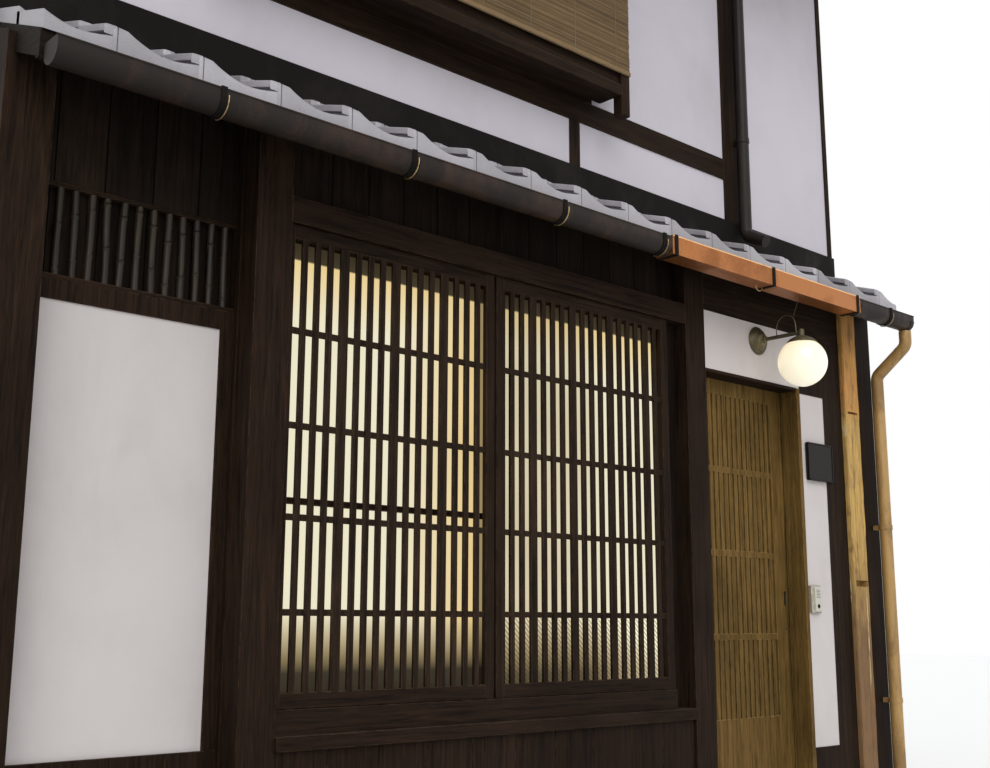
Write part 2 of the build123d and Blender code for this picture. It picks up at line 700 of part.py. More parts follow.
with BuildPart() as pent_roof_deck:
    side_profile(
        pent_left,
        pent_right,
        (fascia_face, pent_soffit(fascia_face)),
        (LOWER_SETBACK, pent_soffit(LOWER_SETBACK)),
        (LOWER_SETBACK, pent_deck(LOWER_SETBACK)),
        (fascia_face, pent_deck(fascia_face)),
    )
    rafter_pitch = (pent_right - pent_left - RAFTER_WIDTH) / (RAFTERS - 1)
    for i in range(RAFTERS):
        x = pent_left + i * rafter_pitch
        in_left_bay = x > inner_left and x + RAFTER_WIDTH < first_post
        if x + RAFTER_WIDTH < weathered_left or x > weathered_right:
            rafter(x, fascia_face, LEFT_RECESS if in_left_bay else 0, pent_soffit)
    fascia_bottom = pent_soffit(fascia_face) - RAFTER
    fascia_top = pent_deck(fascia_face)
    board(pent_left, pent_right, fascia_face, fascia_face + FASCIA, fascia_bottom, fascia_top)


def tile_section(x0, x1, first_lap):
    """Section of a run of pantiles: a steep lap, a narrow roll and a long hollow for each tile."""
    count = math.ceil((x1 - first_lap) / TILE_PITCH)
    crest = TILE_BODY + TILE_WAVE
    with BuildSketch() as section:
        with BuildLine():
            end = first_lap + count * TILE_PITCH
            Polyline((first_lap, TILE_BODY), (first_lap, 0), (end, 0), (end, TILE_BODY))
            for i in range(count):
                lap = first_lap + i * TILE_PITCH
                roll = (lap + 0.08 * TILE_PITCH, crest)
                shoulder = (lap + 0.17 * TILE_PITCH, crest - 0.08 * TILE_WAVE)
                hollow = (lap + 0.6 * TILE_PITCH, TILE_BODY + 0.12 * TILE_WAVE)
                ThreePointArc((lap, TILE_BODY), (lap + 0.02 * TILE_PITCH, crest - 0.25 * TILE_WAVE), roll)
                Line(roll, shoulder)
                ThreePointArc(shoulder, hollow, (lap + TILE_PITCH, TILE_BODY))
        make_face()
        with Locations(((x0 + x1) / 2, crest)):
            Rectangle(x1 - x0, 4 * crest, mode=Mode.INTERSECT)
    return section.sketch


def tile_slope(x0, x1, y_low, y_high, deck, slope, towards):
    """Tiles on one slope, cut plumb at both ends; towards is -1 for the street side and 1 for the garden."""
    run = abs(y_high - y_low)
    margin = 2 * (TILE_BODY + TILE_WAVE)
    length = math.hypot(1, slope)
    down_slope = Plane(
        origin=(0, place(y_high - towards * margin), deck(y_high) + slope * margin),
        x_dir=(-towards, 0, 0),
        z_dir=(0, towards / length, -slope / length),
    )
    section = tile_section(x0, x1, x0 - TILE_PITCH + TILE_LAP - PENT_VERGE)
    extrude(down_slope * section, amount=(run + 2 * margin) * length)
    with Locations(((x0 + x1) / 2, place((y_low + y_high) / 2), (deck(y_low) + deck(y_high)) / 2)):
        Box(x1 - x0, run, run * slope + 8 * (TILE_BODY + TILE_WAVE), mode=Mode.INTERSECT)


with BuildPart() as pent_roof_tiles:
    tile_slope(pent_left, pent_right, -PENT_EAVE, LOWER_SETBACK - FLASHING, pent_deck, PENT_SLOPE, -1)

with BuildPart() as roof_flashing:
    board(left, right, LOWER_SETBACK - FLASHING, LOWER_SETBACK, pent_deck(LOWER_SETBACK), floor_beam_top)

# Gutters with hangers and downpipes

gutter_y = fascia_face - GUTTER_GAP - GUTTER_RADIUS
gutter_left = left + GUTTER_END
gutter_right = right - GUTTER_END
copper_left = left + COPPER_START
copper_right = left + COPPER_END
old_gutter_bottom = pent_deck(-PENT_EAVE) - GUTTER_DROP - GUTTER_LIP - GUTTER_RADIUS
copper_bottom = pent_deck(-PENT_EAVE) - COPPER_DROP - COPPER_HEIGHT
upper_gutter_y = eave - GUTTER_GAP - UPPER_GUTTER_RADIUS
upper_gutter_bottom = main_soffit(eave) - UPPER_GUTTER_DROP - UPPER_GUTTER_RADIUS


def channel_section(radius, lip):
    """Filled section of a gutter: half round, with a straight part up to the lips."""
    with BuildSketch() as section:
        Circle(radius)
        with Locations((0, radius)):
            Rectangle(2 * radius, 2 * radius, mode=Mode.SUBTRACT)
        Rectangle(2 * radius, lip, align=(Align.CENTER, Align.MIN))
    return section.sketch


def across(x, y, z):
    """Plane across a gutter at x, with its own x axis into the house and its own y axis up."""
    return Plane(origin=(x, place(y), z), x_dir=(0, 1, 0), z_dir=(1, 0, 0))


def gutter(x0, x1, y, bottom, radius, lip):
    """Open length of half-round gutter from x0 to x1, with a stop end at each end."""
    start = across(x0, y, bottom + radius)
    inside = radius - GUTTER_WALL
    extrude(start * channel_section(radius, lip), amount=x1 - x0)
    extrude(start * channel_section(inside, lip), amount=x1 - x0, mode=Mode.SUBTRACT)
    with BuildSketch() as mouth:
        with Locations((0, lip)):
            Rectangle(2 * inside, 2 * GUTTER_WALL)
    extrude(start * mouth.sketch, amount=x1 - x0, mode=Mode.SUBTRACT)
    for x in (x0, x1 - GUTTER_WALL):
        extrude(across(x, y, bottom + radius) * channel_section(inside, lip), amount=GUTTER_WALL)


def hanger(x, y, bottom, radius, lip, support):
    """Half-round strap under a gutter, with a bar over its lips back to the fascia at support."""
    outer = radius + SEAT + HANGER
    with BuildSketch() as strap:
        Circle(outer)
        Circle(radius + SEAT, mode=Mode.SUBTRACT)
        with Locations((0, outer)):
            Rectangle(2 * outer, 2 * outer, mode=Mode.SUBTRACT)
        for side in (-1, 1):
            with Locations((side * (outer - HANGER / 2), (lip + SEAT) / 2)):
                Rectangle(HANGER, lip + SEAT)
    extrude(across(x - HANGER_WIDTH / 2, y, bottom + radius) * strap.sketch, amount=HANGER_WIDTH)
    hanger_bar(x, y, bottom + radius + lip, outer, support)


def hanger_bar(x, y, lips, outer, support):
    """Bar of a hanger, from its strap's outer side over the lips to the fascia."""
    towards = 1 if support > y else -1
    ends = sorted((y - towards * outer, support))
    board(x - HANGER_WIDTH / 2, x + HANGER_WIDTH / 2, ends[0], ends[1], lips + SEAT, lips + SEAT + HANGER)


with BuildPart() as old_gutter:
    for x0, x1 in ((gutter_left, copper_left), (copper_right, gutter_right)):
        gutter(x0, x1, gutter_y, old_gutter_bottom, GUTTER_RADIUS, GUTTER_LIP)

with BuildPart() as new_gutter:
    board(
        copper_left, copper_right, gutter_y - GUTTER_RADIUS, gutter_y + GUTTER_RADIUS,
        copper_bottom, copper_bottom + COPPER_HEIGHT,
    )
    board(
        copper_left + GUTTER_WALL, copper_right - GUTTER_WALL,
        gutter_y - GUTTER_RADIUS + GUTTER_WALL, gutter_y + GUTTER_RADIUS - GUTTER_WALL,
        copper_bottom + GUTTER_WALL, copper_bottom + COPPER_HEIGHT, Mode.SUBTRACT,
    )

with BuildPart() as gutter_hangers:
    for offset in OLD_HANGERS:
        hanger(left + offset, gutter_y, old_gutter_bottom, GUTTER_RADIUS, GUTTER_LIP, fascia_face)
    outer = GUTTER_RADIUS + SEAT + HANGER
    for offset in COPPER_HANGERS:
        with BuildSketch() as strap:
            with Locations((0, (COPPER_HEIGHT - HANGER) / 2)):
                Rectangle(2 * outer, COPPER_HEIGHT + HANGER + 2 * SEAT)
            with Locations((0, COPPER_HEIGHT / 2)):
                Rectangle(2 * (outer - HANGER), COPPER_HEIGHT + 2 * SEAT, mode=Mode.SUBTRACT)
        x = left + offset
        start = across(x - HANGER_WIDTH / 2, gutter_y, copper_bottom)
        extrude(start * strap.sketch, amount=HANGER_WIDTH)
        hanger_bar(x, gutter_y, copper_bottom + COPPER_HEIGHT, outer, fascia_face)
    for i in range(UPPER_HANGERS):
        x = left + WIDTH * (i + 0.5) / UPPER_HANGERS
        for y, support in ((upper_gutter_y, eave), (2 * ridge - upper_gutter_y, back_eave)):
            hanger(x, y, upper_gutter_bottom, UPPER_GUTTER_RADIUS, UPPER_GUTTER_LIP, support)

roof_left = left - ROOF_VERGE
roof_right = right + ROOF_VERGE
with BuildPart() as upper_gutters:
    for y in (upper_gutter_y, 2 * ridge - upper_gutter_y):
        gutter(roof_left, roof_right, y, upper_gutter_bottom, UPPER_GUTTER_RADIUS, UPPER_GUTTER_LIP)


def downpipe(route, clips, wall):
    """Round pipe along a route of (x, depth, height) points, with clips back to the wall at a depth."""
    points = [(x, place(y), z) for x, y, z in route]
    with BuildLine() as path:
        FilletPolyline(*points, radius=PIPE_BEND)
    start = Plane(origin=points[0], z_dir=(0, 0, -1))
    with BuildSketch(start) as ring:
        Circle(PIPE_RADIUS)
    sweep(ring.sketch, path=path.line)
    x, y, _ = route[3]
    for z in clips:
        with BuildSketch(Plane.XY.offset(z)) as band:
            with Locations((x, place(y))):
                Circle(PIPE_RADIUS + CLIP_BAND)
        extrude(band.sketch, amount=CLIP)
        board(x - CLIP / 2, x + CLIP / 2, y, wall, z, z + CLIP)


with BuildPart() as lower_downpipe:
    lower_pipe_x = right - PIPE_RADIUS - PIPE_INSET
    lower_pipe_y = -PIPE_RADIUS - LOWER_PIPE_GAP
    lower_bend = old_gutter_bottom - LOWER_OUTLET
    lower_route = [
        (lower_pipe_x, gutter_y, old_gutter_bottom),
        (lower_pipe_x, gutter_y, lower_bend),
        (lower_pipe_x, lower_pipe_y, lower_bend - LOWER_OFFSET),
        (lower_pipe_x, lower_pipe_y, PIPE_END),
    ]
    downpipe(lower_route, LOWER_CLIPS, 0)

main_post = left + MAIN_POST_X
with BuildPart() as upper_downpipe:
    upper_pipe_x = main_post + MAIN_POST - PIPE_RADIUS
    upper_pipe_y = LOWER_SETBACK - UPPER_PIPE_GAP - PIPE_RADIUS
    upper_bend = upper_gutter_bottom - UPPER_OUTLET
    foot_bend = floor_beam_top - SPOUT_RISE
    upper_route = [
        (upper_pipe_x, upper_gutter_y, upper_gutter_bottom),
        (upper_pipe_x, upper_gutter_y, upper_bend),
        (upper_pipe_x, upper_pipe_y, upper_bend - UPPER_OFFSET),
        (upper_pipe_x, upper_pipe_y, foot_bend),
        (upper_pipe_x, upper_pipe_y - SPOUT_REACH, foot_bend - SPOUT_FALL),
    ]
    downpipe(upper_route, [floor_beam_top + rise for rise in UPPER_CLIPS], LOWER_SETBACK)

# Upper storey: beams, posts and plaster

window_x0 = left + WINDOW_X
window_x1 = window_x0 + UPPER_WINDOW
upper_face = LOWER_SETBACK
plaster_face = LOWER_SETBACK + UPPER_PLASTER_SETBACK
trim_left = left + END_TRIM
trim_right = right - END_TRIM

with BuildPart() as floor_beams:
    board(left, right, upper_face, upper_wall_back, floor_beam_bottom, floor_beam_top)
    back_board(inner_left, inner_right, 0, FRAME_DEPTH, floor_beam_bottom, floor_beam_top)

with BuildPart() as upper_beams:
    board(trim_left, main_post, upper_face, upper_wall_back, upper_rail_bottom, upper_rail_top)
    board(window_x0, window_x1, upper_face, upper_wall_back, upper_head, upper_head + HEAD_BEAM)
    side_profile(
        left,
        right,
        (upper_face, wall_plate_bottom),
        (upper_wall_back, wall_plate_bottom),
        (upper_wall_back, main_soffit(upper_wall_back)),
        (upper_face, wall_top),
    )
    side_profile(
        inner_left,
        inner_right,
        (HOUSE_DEPTH, wall_plate_bottom),
        (back_wall_face, wall_plate_bottom),
        (back_wall_face, main_soffit(back_wall_face)),
        (HOUSE_DEPTH, wall_top),
    )

with BuildPart() as upper_posts:
    board(left, trim_left, upper_face, upper_wall_back, floor_beam_top, wall_plate_bottom)
    board(trim_right, right, upper_face, upper_wall_back, floor_beam_top, wall_plate_bottom)
    board(main_post, main_post + MAIN_POST, upper_face, upper_wall_back, floor_beam_top, wall_plate_bottom)
    for x in (window_x0 - WINDOW_POST, window_x1):
        board(x, x + WINDOW_POST, upper_face, upper_wall_back, upper_rail_top, wall_plate_bottom)

with BuildPart() as upper_panels:
    window_post_x1 = window_x1 + WINDOW_POST
    board(trim_left, main_post, plaster_face, upper_wall_back, floor_beam_top, upper_rail_bottom)
    board(
        trim_left, window_x0 - WINDOW_POST, plaster_face, upper_wall_back, upper_rail_top, wall_plate_bottom
    )
    board(window_post_x1, main_post, plaster_face, upper_wall_back, upper_rail_top, wall_plate_bottom)
    board(main_post + MAIN_POST, trim_right, plaster_face, upper_wall_back, floor_beam_top, wall_plate_bottom)
    board(window_x0, window_x1, plaster_face, upper_wall_back, upper_head + HEAD_BEAM, wall_plate_bottom)

with BuildPart() as upper_sashes:
    upper_middle = (window_x0 + window_x1) / 2
    upper_sash_face = upper_wall_back - GLASS - SASH_DEPTH
    sashes(window_x0, window_x1, upper_rail_top, upper_head, upper_sash_face, upper_middle)

# Window box and blind

box_face = upper_face - BOX_DEPTH
box_x0 = window_x0 - BOX_SIDE
box_x1 = window_x1 + BOX_SIDE
box_rail_bottom = upper_rail_top - BOX_RAIL_DROP
box_rail_top = box_rail_bottom + BOX_RAIL
box_top = upper_head + HEAD_BEAM
box_post_back = box_face + BOX_POST
with BuildPart() as window_box:
    for x in (box_x0, box_x1 - BOX_POST):
        board(x, x + BOX_POST, box_face, box_post_back, box_rail_bottom - BOX_TAIL, box_top)
        board(x, x + BOX_POST, box_post_back, upper_face, box_rail_bottom, box_rail_top)
        board(x, x + BOX_POST, box_post_back, upper_face, box_top - BOX_RAIL, box_top)
    for z in (box_rail_bottom, box_top - BOX_RAIL):
        board(box_x0 + BOX_POST, box_x1 - BOX_POST, box_face, box_post_back, z, z + BOX_RAIL)
    floor_bottom = box_rail_bottom + BOX_FLOOR_RISE
    board(box_x0 + BOX_POST, window_x1, box_post_back, upper_face, floor_bottom, floor_bottom + BOX_FLOOR)

with BuildPart() as reed_blind:
    blind_back = box_face - SEAT
    blind_x0 = box_x0 + BLIND_SIDE
    blind_x1 = box_x1 - BLIND_SIDE
    board(blind_x0, blind_x1, blind_back - BLIND, blind_back, box_rail_top + BLIND_RISE, box_top - BLIND_DROP)

# Garden side

back_window_x0 = left + BACK_WINDOW_X
back_window_x1 = back_window_x0 + BACK_WINDOW
back_post_xs = (inner_left, back_window_x0 - POST, back_window_x1, inner_right - POST)
lower_sill = PLINTH + BACK_SILL
back_lights = ((lower_sill, lower_sill + BACK_LIGHT), (floor_beam_top + UPPER_BACK_SILL, upper_head))
storeys = ((PLINTH, floor_beam_bottom), (floor_beam_top, wall_plate_bottom))

with BuildPart() as back_posts:
    for x in back_post_xs:
        for bottom, top in storeys:
            back_board(x, x + POST, 0, FRAME_DEPTH, bottom, top)

with BuildPart() as back_panels:
    for (bottom, top), (sill, head) in zip(storeys, back_lights):
        for x0, x1 in ((back_post_xs[0] + POST, back_post_xs[1]), (back_post_xs[2] + POST, back_post_xs[3])):
            back_board(x0, x1, UPPER_PLASTER_SETBACK, FRAME_DEPTH, bottom, top)
        back_board(back_window_x0, back_window_x1, UPPER_PLASTER_SETBACK, FRAME_DEPTH, bottom, sill)
        back_board(back_window_x0, back_window_x1, UPPER_PLASTER_SETBACK, FRAME_DEPTH, head, top)

with BuildPart() as back_sashes:
    for sill, head in back_lights:
        back_middle = (back_window_x0 + back_window_x1) / 2
        sashes(back_window_x0, back_window_x1, sill, head, back_wall_face + GLASS, back_middle)

with BuildPart() as upper_glass:
    board(window_x0, window_x1, upper_wall_back - GLASS, upper_wall_back, upper_rail_top, upper_head)
    for sill, head in back_lights:
        board(back_window_x0, back_window_x1, back_wall_face, back_wall_face + GLASS, sill, head)

# Main roof


def main_deck(y):
    """Height of the top of the main roof's boards."""
    return main_soffit(y) + ROOF_DECK


def roof_slope(y_low, wall, towards):
    """Boards of one slope up to the ridge, with rafters and a fascia under the eave."""
    side_profile(
        roof_left,
        roof_right,
        (y_low, main_soffit(y_low)),
        (ridge, main_soffit(ridge)),
        (ridge, main_deck(ridge)),
        (y_low, main_deck(y_low)),
    )
    pitch = (WIDTH - RAFTER_WIDTH) / (RAFTERS - 1)
    for i in range(RAFTERS):
        rafter(left + i * pitch, y_low, wall, main_soffit)
    edge = sorted((y_low, y_low - towards * FASCIA))
    board(roof_left, roof_right, edge[0], edge[1], main_soffit(y_low) - RAFTER, main_deck(y_low))
    for x in (roof_left, roof_right - BARGE):
        side_profile(
            x,
            x + BARGE,
            (y_low, main_soffit(y_low)),
            (ridge, main_soffit(ridge)),
            (ridge, main_deck(ridge) - BARGE_DEPTH),
            (y_low, main_deck(y_low) - BARGE_DEPTH),
        )


with BuildPart() as roof_deck_front:
    roof_slope(eave, LOWER_SETBACK, -1)

with BuildPart() as roof_deck_back:
    roof_slope(back_eave, HOUSE_DEPTH, 1)

with BuildPart() as roof_tiles_front:
    lowest = eave - FASCIA_SETBACK
    highest = ridge - RIDGE_HALF_WIDTH
    tile_slope(roof_left, roof_right, lowest, highest, main_deck, ROOF_SLOPE, -1)

with BuildPart() as roof_tiles_back:
    lowest = back_eave + FASCIA_SETBACK
    highest = ridge + RIDGE_HALF_WIDTH
    tile_slope(roof_left, roof_right, lowest, highest, main_deck, ROOF_SLOPE, 1)



def ridge_section(proud):
    """Section of the ridge: a bed between the slopes, stepped courses and a round cap, grown by proud."""
    bed_top = ridge_line + RIDGE_BED
    cap_line = bed_top + RIDGE_COURSES * RIDGE_COURSE
    with BuildSketch() as section:
        with BuildLine():
            Polyline(
                (-RIDGE_HALF_WIDTH, bed_top),
                (-RIDGE_HALF_WIDTH, edge_line),
                (0, ridge_line),
                (RIDGE_HALF_WIDTH, edge_line),
                (RIDGE_HALF_WIDTH, bed_top),
                close=True,
            )
        make_face()
        for i in range(RIDGE_COURSES):
            half = RIDGE_HALF_WIDTH + proud - (i + 1) * RIDGE_COURSE_STEP
            with Locations((0, bed_top + (i + 0.5) * RIDGE_COURSE)):
                Rectangle(2 * half, RIDGE_COURSE)
        with Locations((0, cap_line)):
            Circle(RIDGE_CAP + proud)
    return section.sketch


with BuildPart() as ridge_tiles:
    ridge_line = main_deck(ridge)
    edge_line = main_deck(ridge + RIDGE_HALF_WIDTH)
    along = Plane(origin=(roof_left, 0, 0), x_dir=(0, 1, 0), z_dir=(1, 0, 0))
    extrude(along * ridge_section(0), amount=roof_right - roof_left)
    for x in (roof_left, roof_right - RIDGE_END):
        end = Plane(origin=(x, 0, 0), x_dir=(0, 1, 0), z_dir=(1, 0, 0))
        extrude(end * ridge_section(RIDGE_END_PROUD), amount=RIDGE_END)

# Labels and files

pieces = {
    "ground_slab": ground_slab,
    "upper_floor": upper_floor,
    "left_party_wall": left_party_wall,
    "right_party_wall": right_party_wall,
    "end_posts": end_posts,
    "front_posts": front_posts,
    "front_beams": front_beams,
    "front_boards": front_boards,
    "front_plaster": front_plaster,
    "left_panel_frame": left_panel_frame,
    "side_panel_frame": side_panel_frame,
    "bamboo_transom": bamboo_transom,
    "lattice_left": lattice_left,
    "lattice_right": lattice_right,
    "window_sill": window_sill,
    "window_sashes": window_sashes,
    "window_glass": window_glass,
    "entrance_door": entrance_door,
    "door_pane": door_pane,
    "door_pull": door_pull,
    "door_wheels": door_wheels,
    "door_rails": door_rails,
    "door_head_track": door_head_track,
    "door_jamb": door_jamb,
    "lamp_bracket": lamp_bracket,
    "lamp_globe": lamp_globe,
    "name_plate": name_plate,
    "door_station": door_station,
    "weathered_post": weathered_post,
    "pent_roof_deck": pent_roof_deck,
    "pent_roof_tiles": pent_roof_tiles,
    "roof_flashing": roof_flashing,
    "old_gutter": old_gutter,
    "new_gutter": new_gutter,
    "gutter_hangers": gutter_hangers,
    "upper_gutters": upper_gutters,
    "lower_downpipe": lower_downpipe,
    "upper_downpipe": upper_downpipe,
    "floor_beams": floor_beams,
    "upper_beams": upper_beams,
    "upper_posts": upper_posts,
    "upper_panels": upper_panels,
    "upper_sashes": upper_sashes,
    "upper_glass": upper_glass,
    "window_box": window_box,
    "reed_blind": reed_blind,
    "back_posts": back_posts,
    "back_panels": back_panels,
    "back_sashes": back_sashes,
    "roof_deck_front": roof_deck_front,
    "roof_deck_back": roof_deck_back,
    "roof_tiles_front": roof_tiles_front,
    "roof_tiles_back": roof_tiles_back,
    "ridge_tiles": ridge_tiles,
}
os.makedirs("parts", exist_ok=True)
for name, piece in pieces.items():
    piece.part.label = name
    export_step(piece.part, f"parts/{name}.step")
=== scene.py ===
# %% [markdown]
# # Dressing a townhouse from a row
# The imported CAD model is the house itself: posts, walls, floors, doors and roofs at their real
# size. It could be rebuilt here, but then the two would drift apart. So it is loaded as a fixed
# frame, and this lesson adds only what a frame can't show: finishes, and small curved pieces.

# %% Load the frame
import math

import bpy
import numpy as np
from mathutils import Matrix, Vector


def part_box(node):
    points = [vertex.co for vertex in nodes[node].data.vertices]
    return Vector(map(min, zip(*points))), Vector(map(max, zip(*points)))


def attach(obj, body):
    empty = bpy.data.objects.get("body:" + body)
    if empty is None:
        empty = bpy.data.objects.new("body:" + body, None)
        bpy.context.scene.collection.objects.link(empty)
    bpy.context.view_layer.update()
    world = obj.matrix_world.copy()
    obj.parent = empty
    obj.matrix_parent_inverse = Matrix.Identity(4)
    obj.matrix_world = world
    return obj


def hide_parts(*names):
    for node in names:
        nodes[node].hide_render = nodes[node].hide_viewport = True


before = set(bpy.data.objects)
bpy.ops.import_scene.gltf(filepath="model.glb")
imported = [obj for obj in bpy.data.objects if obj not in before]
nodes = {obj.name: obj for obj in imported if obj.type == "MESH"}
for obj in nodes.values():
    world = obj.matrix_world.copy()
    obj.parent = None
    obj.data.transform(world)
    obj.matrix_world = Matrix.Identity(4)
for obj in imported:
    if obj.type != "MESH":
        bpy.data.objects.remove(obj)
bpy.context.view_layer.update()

# %% [markdown]
# # Skins and slabs
# Everything added below is one of two shapes. A skin is a tube-like shell, a row of rings joined
# corner to corner, as in canes, beads and lamp globes. A slab is a sheet with thickness, two grids
# joined round their rim, as in tiles and boards. Blender's own cylinders and cubes could be
# bent to fit, but working the points out as arrays keeps each curve a formula that can be changed.


# %% Two ways to close a surface
def xyz(x, y, z):
    """Points (..., 3) from three arrays or numbers, spread to one common shape."""
    return np.stack(np.broadcast_arrays(x, y, z), -1)


def skin(rings):
    """Closed shells from an array (shells, rings, corners, 3).

    Corner j of ring i is joined to corner j + 1 and to ring i + 1, and the two end rings are
    closed by flat faces. A shell whose volume comes out negative has its corners turned round,
    so that every face looks outwards.
    """
    rings = np.array(rings, float)
    if rings.ndim == 3:
        rings = rings[None]
    shells, rows, corners, _ = rings.shape
    centre = rings.mean(axis=(1, 2), keepdims=True)
    a = rings - centre
    b, c, d = np.roll(a, -1, 2), np.roll(a, -1, 2)[:, 1:], a[:, 1:]
    a, b = a[:, :-1], b[:, :-1]
    around = np.einsum("srci,srci->s", a, np.cross(b, c)) + np.einsum("srci,srci->s", a, np.cross(c, d))
    rings[around < 0] = rings[around < 0][:, :, ::-1]
    i, j = np.meshgrid(np.arange(rows - 1), np.arange(corners), indexing="ij")
    k = (j + 1) % corners
    quads = np.stack([i * corners + j, i * corners + k, (i + 1) * corners + k, (i + 1) * corners + j], -1)
    quads = quads.reshape(-1, 4)
    start = np.arange(corners)[::-1]
    end = np.arange(corners) + (rows - 1) * corners
    shift = (np.arange(shells) * rows * corners)[:, None, None]
    faces = (quads[None] + shift).reshape(-1, 4).tolist()
    faces += (start[None] + shift[:, 0]).tolist() + (end[None] + shift[:, 0]).tolist()
    return rings.reshape(-1, 3), faces


def slab(top, under):
    """Closed sheets from two arrays (slabs, rows, columns, 3): the top, the underside and four
    edges of quads between them. Sheets whose volume comes out negative swap their two sides."""
    top, under = np.array(top, float), np.array(under, float)
    if top.ndim == 3:
        top, under = top[None], under[None]
    slabs, rows, columns, _ = top.shape
    u, v = top[:, 1:, :-1] - top[:, :-1, :-1], top[:, :-1, 1:] - top[:, :-1, :-1]
    depth = top[:, :-1, :-1] - under[:, :-1, :-1]
    turned = np.einsum("srci,srci->s", np.cross(v, u), depth) > 0
    top[turned], under[turned] = top[turned][:, ::-1], under[turned][:, ::-1]
    i, j = np.meshgrid(np.arange(rows - 1), np.arange(columns - 1), indexing="ij")
    a = (i * columns + j).reshape(-1)
    face = np.stack([a, a + columns, a + columns + 1, a + 1], -1)
    half = rows * columns
    rim = np.concatenate([
        np.arange(columns - 1),
        np.arange(rows - 1) * columns + columns - 1,
        (rows - 1) * columns + np.arange(columns - 1, 0, -1),
        np.arange(rows - 1, 0, -1) * columns,
    ])
    following = np.roll(rim, -1)
    edge = np.stack([rim, following, following + half, rim + half], -1)
    quads = np.concatenate([face, face[:, ::-1] + half, edge])
    shift = (np.arange(slabs) * 2 * half)[:, None, None]
    points = np.concatenate([top.reshape(slabs, -1, 3), under.reshape(slabs, -1, 3)], 1)
    return points.reshape(-1, 3), (quads[None] + shift).reshape(-1, 4).tolist()


def piece(name, shells, finish, stands_for=(), smooth_angle=35):
    """A named object from one or more (points, faces) pairs, hung under the house's empty, with finish
    as its material. stands_for names the CAD nodes whose place it takes, which are hidden."""
    shells = [shells] if isinstance(shells, tuple) else shells
    points, faces, count = [], [], 0
    for some_points, some_faces in shells:
        points.append(some_points)
        faces += [[v + count for v in face] for face in some_faces]
        count += len(some_points)
    mesh = bpy.data.meshes.new(name)
    mesh.from_pydata(np.concatenate(points).tolist(), [], faces)
    mesh.validate()
    obj = bpy.data.objects.new(name, mesh)
    bpy.context.scene.collection.objects.link(obj)
    mesh.materials.append(finish)
    mesh.shade_smooth()
    mesh.set_sharp_from_angle(angle=math.radians(smooth_angle))
    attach(obj, "house")
    if stands_for:
        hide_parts(*stands_for)
    print(f"{name}: {len(mesh.polygons)} faces, {len(shells)} shells")


# %% [markdown]
# # How a finish is put together
# A real surface has a main colour, patches, fine grain and a sheen that varies. Image textures
# would show that, but they tie the house to one picture. Procedural noise read from Object
# coordinates has no seams, has a real scale in metres, and every plank gets its own stretch of it.


# %% A small helper for finishes
class Finish:
    """A material in the making: each call adds one node and gives back its output."""

    def __init__(self, name, **sockets):
        self.material = bpy.data.materials.new(name)
        self.material.use_nodes = True
        self.tree = self.material.node_tree
        self.shader = self.tree.nodes["Principled BSDF"]
        for socket, value in sockets.items():
            self.shader.inputs[socket.replace("_", " ")].default_value = value

    def add(self, kind, inputs, output=0, **settings):
        node = self.tree.nodes.new("ShaderNode" + kind)
        for key, value in settings.items():
            setattr(node, key, value)
        for key, value in inputs.items():
            if isinstance(value, bpy.types.NodeSocket):
                self.tree.links.new(value, node.inputs[key])
            else:
                node.inputs[key].default_value = value
        return node.outputs[output]

    def place(self, stretch=(1, 1, 1)):
        """Object coordinates in metres, stretched."""
        where = self.add("TexCoord", {}, "Object")
        return self.add("Mapping", {"Vector": where, "Scale": stretch})

    def noise(self, where, scale, detail=3, distortion=0.0, roughness=0.55):
        inputs = {"Vector": where, "Scale": scale, "Detail": detail, "Distortion": distortion}
        return self.add("TexNoise", {**inputs, "Roughness": roughness})

    def math(self, operation, a, b=0.0, c=0.0):
        return self.add("Math", {0: a, 1: b, 2: c}, operation=operation)

    def plus(self, a, b):
        return self.math("ADD", a, b)

    def minus(self, a, b):
        return self.math("SUBTRACT", a, b)

    def times(self, a, b):
        return self.math("MULTIPLY", a, b)

    def spread(self, value, low, high, to_low=0.0, to_high=1.0):
        """The value's range low to high, mapped to another range and held inside it."""
        inputs = {"Value": value, 1: low, 2: high, 3: to_low, 4: to_high}
        return self.add("MapRange", inputs, clamp=True)

    def mix(self, factor, a, b, blend="MIX"):
        inputs = {0: factor, 6: a, 7: b}
        return self.add("Mix", inputs, 2, data_type="RGBA", blend_type=blend)

    def shaded(self, colour, tone):
        """The colour made lighter or darker: each channel times the tone."""
        return self.mix(1.0, colour, self.add("CombineColor", {0: tone, 1: tone, 2: tone}), "MULTIPLY")

    def axis(self, where, name):
        return self.add("SeparateXYZ", {"Vector": where}, name)

    def worn_edges(self, radius):
        """1 near an edge and 0 elsewhere: how far a rounded normal leans from the flat one."""
        rounded = self.add("Bevel", {"Radius": radius}, samples=4)
        flat = self.add("NewGeometry", {}, "Normal")
        lean = self.add("VectorMath", {0: rounded, 1: flat}, "Value", operation="DOT_PRODUCT")
        return self.spread(lean, 0.99, 0.86)

    def done(self, colour, roughness, relief, depth, round_edges=0.0, **more):
        """Joins the outputs to the shader. depth is the relief's height in metres."""
        links = {"Base Color": colour, "Roughness": roughness, **more}
        for socket, output in links.items():
            if output is not None:
                self.tree.links.new(output, self.shader.inputs[socket])
        inputs = {"Height": relief, "Distance": depth, "Strength": 1.0}
        if round_edges:
            inputs["Normal"] = self.add("Bevel", {"Radius": round_edges}, samples=4)
        self.tree.links.new(self.add("Bump", inputs), self.shader.inputs["Normal"])
        return self.material


# %% [markdown]
# # Timber
# The front is old cedar and pine, stained almost black with soot and oil, with a faint brown
# grain, paler worn edges and dust on its ledges. The grain is a noise drawn out twenty times
# along the piece. Where one frame has uprights and rails together, bands of height turn it.

